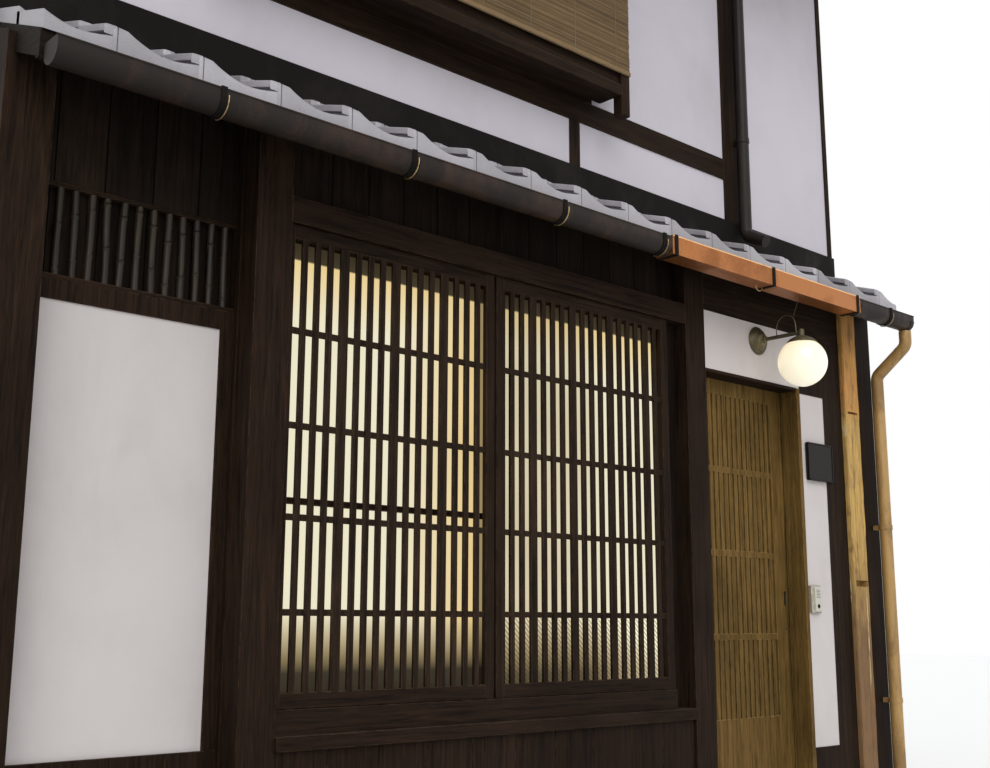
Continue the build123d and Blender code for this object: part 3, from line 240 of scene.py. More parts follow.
# %% Timber finishes
ALONG = {"x": (0.045, 1, 1), "y": (1, 0.045, 1), "z": (1, 1, 0.045)}


def timber(name, dark, light, along="z", rails=(), edge=None, roughness=0.62, depth=0.0007, planks=None):
    """Grain is fine noise plus slow noise, both drawn out along one axis; rails lists heights
    between which it runs along x. planks (axis, width) parts the surface into boards, each a
    little lighter or darker than the next."""
    f = Finish(name, Specular_IOR_Level=0.06)
    where = f.place(ALONG[along])
    height = f.axis(f.add("TexCoord", {}, "Object"), "Z")
    if rails:
        crossing = 0.0
        for low, high in rails:
            inside = f.math("COMPARE", height, (low + high) / 2, (high - low) / 2)
            crossing = f.math("MAXIMUM", inside, crossing)
        where = f.add("Mix", {0: crossing, 4: where, 5: f.place(ALONG["x"])}, 1, data_type="VECTOR")
    fibre = f.noise(where, 420, 3, 0.2)
    growth = f.noise(where, 46, 2, 1.6)
    patch = f.noise(f.place(), 2.6, 3)
    grain = f.plus(f.times(fibre, 0.45), f.times(growth, 0.55))
    colour = f.mix(f.spread(grain, 0.36, 0.64), (*dark, 1), (*light, 1))
    stain = f.spread(patch, 0.3, 0.7, 0.72, 1.22)
    colour = f.shaded(colour, stain)
    relief = grain
    if planks:
        axis, width = planks
        across = f.math("DIVIDE", f.axis(f.place(), axis), width)
        board = f.math("FLOOR", across)
        tone = f.spread(f.add("TexWhiteNoise", {"W": board}, noise_dimensions="1D"), 0, 1, 0.75, 1.25)
        colour = f.shaded(colour, tone)
        joint = f.math("ABSOLUTE", f.minus(f.math("FRACT", across), 0.5))
        gap = f.spread(joint, 0.5 - 0.003 / width, 0.5 - 0.0012 / width)
        colour = f.mix(gap, colour, (*[c * 0.25 for c in dark], 1))
        relief = f.minus(f.times(grain, 0.4), f.times(gap, 3.0))
    upward = f.axis(f.add("NewGeometry", {}, "Normal"), "Z")
    dust = f.times(f.spread(upward, 0.5, 0.95), f.spread(patch, 0.35, 0.65, 0.05, 0.3))
    colour = f.mix(dust, colour, (0.16, 0.13, 0.10, 1))
    if edge:
        wear = f.times(f.worn_edges(0.004), f.spread(f.noise(f.place(), 30), 0.4, 0.62))
        colour = f.mix(wear, colour, (*edge, 1))
    shine = f.spread(fibre, 0.3, 0.7, roughness - 0.1, roughness + 0.12)
    return f.done(colour, shine, relief, depth, 0.002 if edge else 0.0)


BLACK, BROWN, RUBBED = (0.0065, 0.0038, 0.0025), (0.027, 0.0150, 0.0085), (0.080, 0.048, 0.027)
dark_upright = timber("dark_upright", BLACK, BROWN, "z", edge=RUBBED)
dark_beam = timber("dark_beam", BLACK, BROWN, "x", edge=RUBBED)
dark_boards = timber("dark_boards", BLACK, (0.021, 0.0135, 0.0090), "z", planks=("X", 0.15))
side_boards = timber("side_boards", BLACK, (0.021, 0.0135, 0.0090), "y", planks=("X", 0.18))
lattice_wood = timber("lattice_wood", (0.0085, 0.0052, 0.0034), (0.034, 0.020, 0.012), "z", edge=RUBBED)
door_wood = timber("door_wood", (0.070, 0.0405, 0.0115), (0.192, 0.1140, 0.0330), "z",
                   edge=(0.32, 0.21, 0.08))
floor_wood = timber("floor_wood", (0.20, 0.12, 0.06), (0.42, 0.28, 0.16), "y", planks=("X", 0.11))
print("timber finishes:", len(bpy.data.materials))

# %% [markdown]
# # Plaster
# Lime plaster is pale and dead flat, with trowel sweeps a hand wide, sandy grain and grey
# stains where rain runs off the ledges. It could be plain white with a bump, but then it reads as
# paper, so a slow patchy noise tints it and a finer one gives the sand.


# %% Plaster finishes
def plaster(name, pale, stained, sweep=0.5):
    """Colour is two slow noises between a pale and a stained tone; relief is sand plus sweeps."""
    f = Finish(name, Roughness=0.9)
    cloud = f.noise(f.place(), 1.6, 5, 0.4)
    streak = f.noise(f.place((1, 1, 0.5)), 5, 5, 0.8, 0.65)
    sand = f.noise(f.place(), 420, 3, 0.0, 0.7)
    trowel = f.noise(f.place((1, 1, 0.6)), 6, 3, 3.0)
    stain = f.times(f.spread(cloud, 0.38, 0.78), f.spread(streak, 0.3, 0.75, 0.1, 0.8))
    colour = f.mix(stain, (*pale, 1), (*stained, 1))
    colour = f.mix(f.spread(sand, 0.55, 0.75, 0, 0.16), colour, (*stained, 1))
    relief = f.plus(f.times(sand, 0.5), f.times(trowel, sweep))
    return f.done(colour, f.spread(cloud, 0.3, 0.7, 0.82, 0.96), relief, 0.0016)


white_plaster = plaster("white_plaster", (0.60, 0.555, 0.54), (0.44, 0.395, 0.375))
# painted light: the upper plaster's lilac tint stands for the colour of the street light on that wall
upper_plaster = plaster("upper_plaster", (0.56, 0.525, 0.57), (0.42, 0.385, 0.41))
party_plaster = plaster("party_plaster", (0.40, 0.36, 0.30), (0.29, 0.26, 0.215), 0.9)

# %% [markdown]
# # Roof tiles
# Smoked clay tiles are silver grey, each fired a little lighter or darker, with a soft metal
# sheen and dusty hollows. One flat grey would make the roof a sheet of tin. So each tile gets its
# own tone from white noise on its column and course, the same grid on which its shape is cut.

# %% Tile finish
TILE_PITCH, FIRST_LAP = 0.259, 0.069
SEAM, SEAM_HALF = 0.0565, 0.0062        # the joint's place and half width, in parts of a tile


def fired_clay(name, low_tone, high_tone, node, courses):
    """Tone is white noise on the tile's column and course, plus patches and fine speckle. The
    joint beside each roll is a dark line at its place across the column."""
    f = Finish(name, Metallic=0.12)
    low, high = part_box(node)
    eave, course = max(abs(low.y), abs(high.y)), (high.y - low.y) / courses
    where = f.place()
    depth = f.axis(where, "Y")
    along = f.math("DIVIDE", f.minus(f.axis(where, "X"), low.x - FIRST_LAP), TILE_PITCH)
    up = f.math("DIVIDE", f.minus(eave, f.math("ABSOLUTE", depth)), course)
    column, row = f.math("FLOOR", along), f.math("FLOOR", up)
    cell = f.add("CombineXYZ", {"X": column, "Y": row, "Z": f.math("SIGN", depth)})
    own = f.add("TexWhiteNoise", {"Vector": cell}, noise_dimensions="3D")
    seam = f.math("COMPARE", f.math("FRACT", along), SEAM, SEAM_HALF)
    patch = f.noise(where, 9, 5, 0.5)
    speck = f.noise(where, 260, 2)
    tone = f.plus(f.times(own, 0.5), f.times(patch, 0.5))
    colour = f.mix(f.spread(tone, 0.2, 0.8), (*low_tone, 1), (*high_tone, 1))
    colour = f.mix(f.spread(speck, 0.58, 0.7, 0, 0.35), colour, (0.12, 0.11, 0.10, 1))
    colour = f.mix(f.times(seam, 0.85), colour, (0.035, 0.032, 0.03, 1))
    relief = f.plus(f.times(speck, 0.5), patch)
    return f.done(colour, f.spread(patch, 0.3, 0.7, 0.34, 0.58), relief, 0.0009)


ROOF_COURSES, PENT_COURSES = 17, 2
roof_clay = fired_clay("roof_clay", (0.20, 0.21, 0.225), (0.40, 0.41, 0.43),
                       "roof_tiles_front", ROOF_COURSES)
pent_clay = fired_clay("pent_clay", (0.25, 0.235, 0.25), (0.45, 0.43, 0.455),
                       "pent_roof_tiles", PENT_COURSES)

# %% [markdown]
# # Metals, stone and glass
# The old gutter is copper gone nearly black, the short new stretch is still orange. Both are
# the same metal, so one recipe takes two colours and blends them by a patchy noise, as tarnish
# does. The stone plinth is speckled granite. The window glass glows by painted light, an emission
# that stands for a lit room behind it.


# %% Metal finishes
def metal(name, clean, tarnished, share=0.5, roughness=0.4, metallic=0.9, scale=14, runs=0.25, gloss=0.5):
    """Tarnish is patchy noise drawn out downwards, blended between two colours."""
    f = Finish(name, Metallic=metallic, Specular_IOR_Level=gloss)
    patch = f.noise(f.place((1, 1, runs)), scale, 5, 0.6, 0.6)
    fine = f.noise(f.place(), 160, 2)
    cover = f.spread(f.plus(patch, f.times(fine, 0.25)), 0.85 - share, 1.05 - share)
    colour = f.mix(cover, (*clean, 1), (*tarnished, 1))
    shine = f.spread(cover, 0, 1, roughness, min(1.0, roughness + 0.22))
    return f.done(colour, shine, f.plus(patch, fine), 0.0004)


old_copper = metal("old_copper", (0.034, 0.017, 0.010), (0.013, 0.0085, 0.0065),
                   0.40, 0.34, 0.0, 7, 0.5, 0.22)
new_copper = metal("new_copper", (0.46, 0.175, 0.052), (0.32, 0.118, 0.036), 0.30, 0.30, 0.85, 5, 0.6)
# painted highlight: a copper much brighter than the new gutter, for the lit rim along its lip
copper_highlight = metal("copper_highlight", (0.92, 0.52, 0.24), (0.62, 0.30, 0.13), 0.2, 0.22)
bronze = metal("bronze", (0.25, 0.20, 0.105), (0.10, 0.085, 0.05), 0.4, 0.36, 0.8)
black_metal = metal("black_metal", (0.0085, 0.0065, 0.0052), (0.0055, 0.0045, 0.004),
                    0.4, 0.5, 0.0, 5, 0.6, 0.1)
brass = metal("brass", (0.70, 0.52, 0.24), (0.35, 0.24, 0.11), 0.35, 0.32)
station_metal = metal("station_metal", (0.52, 0.49, 0.40), (0.38, 0.35, 0.28), 0.4, 0.42, 0.7, 30, 1)
brown_pipe = metal("brown_pipe", (0.40, 0.240, 0.080), (0.24, 0.138, 0.045), 0.30, 0.36, 0.1)
black_pipe = metal("black_pipe", (0.012, 0.009, 0.0075), (0.026, 0.019, 0.014), 0.25, 0.4, 0.0, 9, 0.3, 0.2)


# %% Stone finish
def granite(name):
    """Three grains of Voronoi cells, white, grey and black, under patches of grime."""
    f = Finish(name)
    where = f.place()
    cells = f.add("TexVoronoi", {"Vector": where, "Scale": 210.0}, "Color")
    grain = f.axis(cells, "X")
    colour = f.mix(f.spread(grain, 0.2, 0.9), (0.24, 0.23, 0.215, 1), (0.50, 0.48, 0.45, 1))
    colour = f.mix(f.math("LESS_THAN", grain, 0.13), colour, (0.055, 0.05, 0.048, 1))
    grime = f.noise(where, 4, 5, 0.6)
    colour = f.mix(f.spread(grime, 0.45, 0.75, 0, 0.6), colour, (0.15, 0.135, 0.115, 1))
    relief = f.plus(f.times(grain, 0.3), f.noise(where, 40, 4))
    return f.done(colour, f.spread(grain, 0, 1, 0.55, 0.85), relief, 0.002, 0.004)


stone = granite("stone")


# %% Glass finishes
LEFT_LIGHT_END, UPRIGHT_START = -0.345, -0.395      # where the lights meet, seen in x
SHADE_START, SHADE_END = 0.094, 0.088               # the shaded top band, down from the head


def painted_glow_glass(head):
    """Frosted glass whose glow is painted light, an emission for a warm room behind it: white in the
    middle, golden at the top, at the right of the left light and wherever it is weak. It stops at a
    painted shade band under the head, dims to painted shade behind the left light's upright and fades
    towards the sill. Low on the right the glass is reeded, which is a fine wave in the glow."""
    f = Finish("painted_glow_glass", Roughness=0.5)
    where = f.place()
    height = f.axis(where, "Z")
    side = f.axis(where, "X")
    cloud = f.noise(where, 1.5, 3, 0.3)
    frost = f.noise(where, 300, 2)
    left_light = f.math("LESS_THAN", side, LEFT_LIGHT_END)
    left_low = f.spread(height, 0.905, 1.085, 0.02, 1.0)
    right_low = f.plus(f.spread(height, 0.88, 1.085, 0.10, 0.80), f.spread(side, 0.15, 0.55, 0, 0.55))
    low_part = f.add("Mix", {0: left_light, 2: right_low, 3: left_low}, 0, data_type="FLOAT")
    glow = f.math("MINIMUM", f.times(low_part, f.spread(cloud, 0.3, 0.7, 0.88, 1.12)), 1.0)
    glow = f.times(glow, f.spread(height, head - SHADE_START, head - SHADE_END, 1.0, 0.04))
    # painted shade: the glow dims to 0.42 where the meeting uprights stand behind it
    upright_shade = f.times(left_light, f.spread(side, UPRIGHT_START, UPRIGHT_START + 0.01))
    glow = f.times(glow, f.spread(upright_shade, 0, 1, 1.0, 0.42))
    reeds_in_glass = f.math("SINE", f.times(f.plus(height, side), 350.0))
    reeded = f.times(f.spread(height, 1.10, 1.06), f.spread(side, -0.36, -0.35))
    glow = f.times(glow, f.spread(f.times(reeds_in_glass, reeded), -1, 0.6, 0.45, 1))
    gold = f.math("MAXIMUM", f.times(left_light, f.spread(side, -0.80, -0.44)),
                  f.spread(height, head - 0.32, head - 0.10))
    gold = f.math("MAXIMUM", gold, f.spread(glow, 0.9, 0.2))
    warm = f.mix(gold, (1.0, 0.96, 0.745, 1), (0.95, 0.72, 0.335, 1))
    f.shader.inputs["Base Color"].default_value = (0.05, 0.038, 0.02, 1)
    # painted light: the emission makes the glass glow as if a warm room were lit behind it
    f.tree.links.new(warm, f.shader.inputs["Emission Color"])
    f.tree.links.new(f.times(glow, 1.05), f.shader.inputs["Emission Strength"])
    return f.done(None, f.spread(frost, 0.3, 0.7, 0.42, 0.6), frost, 0.0003)


def shade_painted_glass(name, tint, frosting):
    """Glass over an unlit room: painted shade, dark for the room behind, with a little frosting in its
    sheen and relief.
    """
    f = Finish(name, Specular_IOR_Level=0.3)
    cloud = f.noise(f.place(), 3, 3)
    ripple = f.noise(f.place(), 26, 2, 0.4)
    colour = f.mix(cloud, (*tint, 1), (*[c * 0.6 for c in tint], 1))
    return f.done(colour, f.spread(cloud, 0.3, 0.7, frosting, frosting + 0.12), ripple, 0.0012)


painted_glow_pane = painted_glow_glass(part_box("window_glass")[1].z)
# painted shade: both panes are dark to stand for the unlit rooms behind them
upper_pane = shade_painted_glass("upper_pane", (0.10, 0.115, 0.12), 0.06)
hall_pane = shade_painted_glass("hall_pane", (0.010, 0.0075, 0.005), 0.5)


def globe_glass():
    """Opal glass with a lamp inside: an even warm white, with painted shade round the neck, deeper and a
    little darker.
    """
    f = Finish("globe_glass", Roughness=0.16, Coat_Weight=0.5, Coat_Roughness=0.04)
    low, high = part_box("lamp_globe")
    height = f.spread(f.axis(f.place(), "Z"), low.z, high.z)
    cloud = f.noise(f.place(), 18, 3)
    # painted shade: the glow's colour deepens and darkens towards the neck
    warm = f.mix(height, (1.0, 0.93, 0.72, 1), (1.0, 0.80, 0.46, 1))
    warm = f.mix(f.spread(cloud, 0.4, 0.8, 0, 0.2), warm, (1.0, 0.82, 0.52, 1))
    f.shader.inputs["Base Color"].default_value = (0.42, 0.41, 0.38, 1)
    f.shader.inputs["Emission Strength"].default_value = 0.80
    return f.done(None, None, cloud, 0.0002, **{"Emission Color": warm})


opal = globe_glass()
print("finishes so far:", len(bpy.data.materials))

# %% [markdown]
# # Finishes on the frame's own pieces
# Most of the house keeps its CAD shape, because a post or a wall is already right. Each such
# node only changes what is in its material slot. A list of names per finish is the shortest way,
# and it makes a forgotten piece easy to find.

# %% Hand out the finishes
back_low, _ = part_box("back_sashes")
upper_low, upper_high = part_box("upper_sashes")
STILE, BACK_LOWER_HEAD = 0.038, 2.000
rail_feet = (upper_low.z, upper_high.z - STILE, back_low.z, BACK_LOWER_HEAD - STILE)
sash_wood = timber("sash_wood", BLACK, BROWN, "z", [(z - 0.001, z + STILE + 0.001) for z in rail_feet])
finishes = {
    dark_upright: "end_posts front_posts side_panel_frame back_posts upper_posts left_panel_frame",
    dark_beam: "front_beams window_sill door_rails door_head_track floor_beams upper_beams",
    dark_boards: "front_boards",
    side_boards: "roof_deck_front roof_deck_back pent_roof_deck",
    sash_wood: "upper_sashes back_sashes",
    door_wood: "entrance_door door_jamb",
    floor_wood: "upper_floor",
    white_plaster: "front_plaster back_panels",
    upper_plaster: "upper_panels",
    party_plaster: "left_party_wall right_party_wall",
    roof_clay: "ridge_tiles",
    old_copper: "old_gutter upper_gutters",
    new_copper: "new_gutter",
    black_metal: "roof_flashing gutter_hangers",
    brass: "door_wheels",
    bronze: "door_pull",
    brown_pipe: "lower_downpipe",
    black_pipe: "upper_downpipe",
    stone: "ground_slab",
    painted_glow_pane: "window_glass",
    hall_pane: "door_pane",
    upper_pane: "upper_glass",
}
for finish, names in finishes.items():
    for name in names.split():
        slots = nodes[name].data.materials
        slots.clear()
        slots.append(finish)
plain = set(nodes) - set(" ".join(finishes.values()).split())
print("nodes that get a piece of their own:", sorted(plain))

# %% [markdown]
# # Pantiles
# A pantile is a shallow S: a steep lap over its neighbour, a narrow roll and a long hollow. The
# CAD roof carries that section up the whole slope. Here it is cut into courses, each thicker
# at its foot, with rounded lips and a fine joint beside each roll. On the pent roof, which is
# seen from near, each tile also curls up at its far edge and the next roll hooks over it. They
# could be thousands of copies of one tile, but one slab per course has far fewer faces.

# %% The wave and the courses
TILE_BODY, TILE_WAVE, LIFT = 0.020, 0.047, 0.016
PENT_SLOPE, ROOF_SLOPE = 0.43, 0.45
FINE = np.array([0, 0.003, 0.008, 0.016, 0.03, 0.05, 0.0515, 0.060, 0.0615, 0.085, 0.12, 0.155, 0.175,
                 0.20, 0.235, 0.28, 0.33, 0.39, 0.46, 0.55, 0.66, 0.78, 0.90, 0.985])
COARSE = np.array([0, 0.006, 0.02, 0.05, 0.09, 0.16, 0.21, 0.28, 0.38, 0.5, 0.66, 0.85])


def wave(t, curl=0.0):
    """Height of a tile from 0 to 1 across its width: a quarter ellipse up to the roll, a flat
    roll, then a hollow that falls as a power of what is left. Where curl is given, the far half
    rises again to that height, as a power of the way."""
    rise = curl + (1 - curl) * np.sqrt(np.clip(1 - ((0.05 - t) / 0.05) ** 2, 0, 1))
    hollow = 0.95 * np.clip((1 - t) / 0.83, 0, 1) ** 2.7 + curl * np.clip(2 * t - 1, 0, 1) ** 1.6
    roll = 1 - 0.05 * np.clip((t - 0.05) / 0.12, 0, 1)
    return np.where(t < 0.05, rise, np.where(t < 0.17, roll, hollow))


def tile_courses(node, slope, towards, count, cuts, seed, joint=0.0, curl=0.0, sway=0.0015):
    """Courses of tiles on the slope that a CAD node covers.

    Height over the boards is body + wave, less the lift times the way up the course, so each
    foot stands on the course below. The lip falls away as a quarter round in its last 9 mm.
    """
    low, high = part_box(node)
    front, back = (low.y, high.y) if towards < 0 else (high.y, low.y)
    first = low.x - FIRST_LAP
    laps = np.arange(int((high.x - first) / TILE_PITCH) + 1)
    x = (first + (laps[:, None] + cuts[None]) * TILE_PITCH).ravel()
    t = np.tile(cuts, len(laps))
    column = np.repeat(laps, len(cuts))
    keep = (x > low.x) & (x < high.x)
    x, t, column = x[keep], t[keep], column[keep]
    chance = np.random.default_rng(seed)
    steepness = math.hypot(1, slope)
    shape = wave(t, curl) - joint * ((t > 0.051) & (t < 0.061))
    exposure = abs(back - front) / count
    shells = []
    for course in range(count):
        own = chance.normal(0, 1, (len(laps), 2))[column]
        foot = front - towards * (exposure * course + own[:, 0] * (sway if course else 0))
        head = front - towards * min(exposure * (course + 1) + 0.02, abs(back - front))
        lip = np.array([0, 0.0012, 0.0035, 0.009])
        drop = np.array([0.006, 0.0028, 0.0008, 0])
        way = np.concatenate([lip, [exposure * 0.5, abs(head - foot.mean())]])
        fall = np.concatenate([drop, [0, 0]])
        y = foot[None] - towards * way[:, None]
        y = y if course else np.clip(y, min(front, back), max(front, back))
        deck = low.z + slope * np.abs(y - front)
        tall = (TILE_BODY + TILE_WAVE * shape[None] - fall[:, None]) * steepness
        tall = tall - LIFT * way[:, None] / exposure + np.where(course, own[:, 1] * 0.0008, 0)
        shells.append(slab(xyz(x, y, deck + np.maximum(tall, 0.004)), xyz(x, y, deck + 0.0005)))
    return shells


def lap_lips(node, slope, count, reach=0.024, thick=0.023):
    """The edge with which each roll hooks over its neighbour: a strip up every course, level with
    the crest of the roll, its outer corner rounded off and its foot a little lower."""
    low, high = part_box(node)
    laps = np.arange(low.x - FIRST_LAP, high.x, TILE_PITCH)
    laps = laps[(laps - reach > low.x) & (laps + 0.014 < high.x)]
    across = np.array([-reach, 0.001 - reach, 0.006 - reach, -0.010, 0.0, 0.013])
    corner = np.array([0.0085, 0.004, 0.0008, 0, 0, 0])
    exposure = (high.y - low.y) / count
    way = np.array([0.001, 0.0025, 0.005, exposure * 0.5, exposure])[:, None]
    drop = np.array([0.006, 0.002, 0, 0, 0])[:, None]
    shells = []
    for course in range(count):
        x, y = laps[:, None, None] + across, low.y + exposure * course + way
        crest = low.z + slope * (y - low.y) + (TILE_BODY + TILE_WAVE - drop) * math.hypot(1, slope)
        crest = crest - LIFT * way / exposure + 0.0006
        shells.append(slab(xyz(x, y, crest - corner), xyz(x, y, crest - thick)))
    return shells


pent_shells = tile_courses("pent_roof_tiles", PENT_SLOPE, -1, PENT_COURSES, FINE, 3, joint=0.12, curl=0.42)
pent_shells += lap_lips("pent_roof_tiles", PENT_SLOPE, PENT_COURSES)
piece("pent_tiles", pent_shells, pent_clay, ["pent_roof_tiles"], smooth_angle=40)
for side, towards, seed in (("front", -1, 5), ("back", 1, 8)):
    node = "roof_tiles_" + side
    courses = tile_courses(node, ROOF_SLOPE, towards, ROOF_COURSES, COARSE, seed)
    piece(side + "_tiles", courses, roof_clay, [node], smooth_angle=40)

# %% [markdown]
# # Tubes
# Canes, wires, beads and cap tiles are all a circle carried along a line. Blender's curves with
# a bevel would do it, and for one wire they are simpler. Arrays are used so that fifty tubes
# of changing thickness are one mesh that needs no conversion.


# %% Tubes along any line
def tube(path, radius, sides):
    """Rings of a circle carried along path (points, 3). Each ring stands square to the way the
    path runs there; radius may be one number or one for each point."""
    path = np.array(path, float)
    way = np.gradient(path, axis=0)
    way /= np.linalg.norm(way, axis=1)[:, None]
    helper = np.where(np.abs(way[:, 2:3]) > 0.9, [[1.0, 0, 0]], [[0, 0, 1.0]])
    side = np.cross(helper, way)
    side /= np.linalg.norm(side, axis=1)[:, None]
    up = np.cross(way, side)
    angle = 2 * math.pi * np.arange(sides) / sides
    radius = np.broadcast_to(np.asarray(radius, float), (len(path),))[:, None, None]
    circle = np.cos(angle)[None, :, None] * side[:, None] + np.sin(angle)[None, :, None] * up[:, None]
    return path[:, None] + radius * circle


def turned(centre, axis, profile, sides):
    """A profile of (radius, distance along axis) turned round the axis, as rings."""
    profile, axis = np.array(profile, float), np.array(axis, float)
    path = np.array(centre, float) + profile[:, 1:] * axis
    helper = np.array([1.0, 0, 0]) if abs(axis[2]) > 0.9 else np.array([0, 0, 1.0])
    side = np.cross(helper, axis)
    side /= np.linalg.norm(side)
    up = np.cross(axis, side)
    angle = 2 * math.pi * np.arange(sides) / sides
    circle = np.cos(angle)[:, None] * side + np.sin(angle)[:, None] * up
    return path[:, None] + np.maximum(profile[:, :1, None], 1e-4) * circle


def block(low, high, bevel=0.002):
    """A box with bevelled edges, as a skin of four rings of eight corners."""
    (x0, y0, z0), (x1, y1, z1) = low, high
    rings = []
    for z, inset in ((z0, bevel), (z0 + bevel, 0), (z1 - bevel, 0), (z1, bevel)):
        a, b, c, d, e = x0 + inset, x1 - inset, y0 + inset, y1 - inset, bevel
        rings.append([(a + e, c, z), (b - e, c, z), (b, c + e, z), (b, d - e, z),
                      (b - e, d, z), (a + e, d, z), (a, d - e, z), (a, c + e, z)])
    return skin(rings)


# %% [markdown]
# # Ridge caps
# Round cap tiles close the ridge, each with a collar that laps the next. The CAD ridge has one
# smooth round. A collar every 270 mm is a step in the radius, so each cap is a short tube whose
# radius follows a small table.

# %% Cap tiles along the ridge
ridge_low, ridge_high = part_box("ridge_tiles")
CAPS, CAP_INSET = 16, 0.045
cap_axis = ridge_high.z - 0.096
cap_ends = np.linspace(ridge_low.x + CAP_INSET, ridge_high.x - CAP_INSET, CAPS + 1)
radii = np.array([0.0670, 0.0675, 0.0675, 0.0715, 0.0715, 0.0690])
caps = []
for a, b in zip(cap_ends[:-1], cap_ends[1:]):
    xs = np.array([a, a + 0.002, b - 0.032, b - 0.030, b - 0.006, b - 0.001])
    caps.append(tube(xyz(xs, 0, cap_axis), radii, 28))
piece("ridge_caps", skin(caps), roof_clay)
print("caps:", len(caps))

# %% [markdown]
# # Bamboo transom
# Dark canes stand close together over the left panel, held by two thin rails, each cane with
# swollen knuckles and a groove above them. The knuckles sit at chance heights, as cut lengths
# do. They are tubes with a radius that bulges: a narrow bell curve at each knuckle.


# %% Cane finish
def cane_finish():
    """Smoky bamboo: long streaks, a pale bloom at the knuckles and a waxy sheen."""
    f = Finish("cane", Specular_IOR_Level=0.3)
    streak = f.noise(f.place((1, 1, 0.05)), 180, 3)
    patch = f.noise(f.place((1, 1, 0.3)), 14, 4)
    colour = f.mix(f.spread(patch, 0.35, 0.75), (0.007, 0.0045, 0.003, 1), (0.030, 0.019, 0.010, 1))
    colour = f.mix(f.spread(streak, 0.45, 0.75, 0, 0.35), colour, (0.09, 0.062, 0.035, 1))
    return f.done(colour, f.spread(streak, 0.3, 0.7, 0.35, 0.55), streak, 0.0005)


cane = cane_finish()

# %% Canes
transom_low, transom_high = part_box("bamboo_transom")
CANES, CANE_PITCH, CANE_RADIUS = 13, 0.048, 0.0112
chance = np.random.default_rng(21)
first_cane = (transom_low.x + transom_high.x - (CANES - 1) * CANE_PITCH) / 2
cane_z = np.linspace(transom_low.z + 0.008, transom_high.z - 0.008, 56)
cane_rings = []
for i in range(CANES):
    knuckles = transom_low.z + chance.uniform(0.02, 0.12) + 0.13 * np.arange(3)
    away = cane_z[:, None] - knuckles[None]
    knuckle, groove = np.exp(-((away / 0.0035) ** 2)), np.exp(-(((away - 0.008) / 0.004) ** 2))
    bulge = (0.0021 * knuckle - 0.0009 * groove).sum(1)
    lean = chance.normal(0, 0.0016, 2)
    sway = lean[0] * np.linspace(-1, 1, len(cane_z))
    x = first_cane + i * CANE_PITCH + sway + 0.0008 * np.sin(cane_z * 20 + i)
    cane_rings.append(tube(xyz(x, (transom_low.y + transom_high.y) / 2, cane_z), CANE_RADIUS + bulge, 12))
CANE_RAIL = 0.014
rails = [block((transom_low.x, transom_low.y, z), (transom_high.x, transom_high.y, z + CANE_RAIL))
         for z in (transom_low.z, transom_high.z - CANE_RAIL)]
piece("bamboo_canes", skin(cane_rings), cane, ["bamboo_transom"])
piece("cane_rails", rails, dark_beam)

# %% [markdown]
# # The lattice window
# Bars of two widths stand between thin rails, thicker every fourth, with narrow lit gaps. The
# CAD grid has square bars. Real ones are planed narrower at the back, so that more light comes
# through at a slant, and their front edges are softened. So each bar is a tapered prism whose
# section is a chamfered trapezoid, and the frame is bevelled blocks. Behind them stand two lights
# of four bars each, the left one with a thin middle rail.

# %% Bars, rails and stiles
GAP, EDGE_STILE, MEETING_STILE, LATTICE_TOP, LATTICE_FOOT = 0.028, 0.024, 0.040, 0.047, 0.048
THIN_BAR, THICK_BAR, BAR_DEPTH, BAR_TAPER, CHAMFER = 0.0215, 0.034, 0.0145, 0.0032, 0.0016
RAIL_STEPS = np.cumsum([0.340, 0.297, 0.280, 0.283])


def lattice_panel(node, first_stile, groups):
    """Bars, crossing rails and frame of one panel, from the number of gaps in each group."""
    low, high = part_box(node)
    widths = np.concatenate([[THIN_BAR] * (count - 1) + [THICK_BAR] for count in groups])[:-1]
    starts = low.x + first_stile + GAP + np.concatenate([[0], np.cumsum(widths[:-1] + GAP)])
    x0, x1 = starts[:, None], (starts + widths)[:, None]
    last_gap = starts[-1] + widths[-1] + GAP
    face, back = low.y, low.y + BAR_DEPTH
    section_x = np.concatenate([x0 + CHAMFER, x1 - CHAMFER, x1, x1 - BAR_TAPER, x0 + BAR_TAPER, x0], 1)
    section_y = np.array([face, face, face + CHAMFER, back, back, face + CHAMFER])
    z = np.linspace(low.z + LATTICE_FOOT - 0.004, high.z - LATTICE_TOP + 0.004, 9)
    bars = xyz(section_x[:, None], section_y, z[:, None])
    near, far = (low.x + 0.002, face + 0.0045), (high.x - 0.002, face + 0.0165)
    rails = [block((*near, h - 0.010), (*far, h + 0.010), 0.0015) for h in high.z - RAIL_STEPS]
    # The frame's own rails sit 1.2 mm back, so that no two faces lie in one plane
    frame_parts = [
        block((low.x, face, low.z), (low.x + first_stile, high.y, high.z)),
        block((last_gap, face, low.z), (high.x, high.y, high.z)),
        block((low.x + first_stile - 0.004, face + 0.0012, low.z + 0.0005),
              (last_gap + 0.004, high.y - 0.001, low.z + LATTICE_FOOT)),
        block((low.x + first_stile - 0.004, face + 0.0012, high.z - LATTICE_TOP),
              (last_gap + 0.004, high.y - 0.001, high.z - 0.0005)),
    ]
    print(node, len(widths), "bars, last gap ends", round(high.x - last_gap, 4), "before the edge")
    return [skin(bars)] + rails, frame_parts


# %% The lights behind
def light(x0, x1, stiles, low, high, middle=None):
    """Four bars of a glazed light; stiles gives the widths of its two uprights."""
    bars = [
        block((x0, low.y, low.z), (x0 + stiles[0], high.y, high.z)),
        block((x1 - stiles[1], low.y, low.z), (x1, high.y, high.z)),
    ]
    heights = [(low.z, low.z + STILE), (high.z - STILE, high.z)] + ([middle] if middle else [])
    bars += [block((x0 + stiles[0] - 0.003, low.y + 0.001, a), (x1 - stiles[1] + 0.003, high.y - 0.001, b))
             for a, b in heights]
    return bars


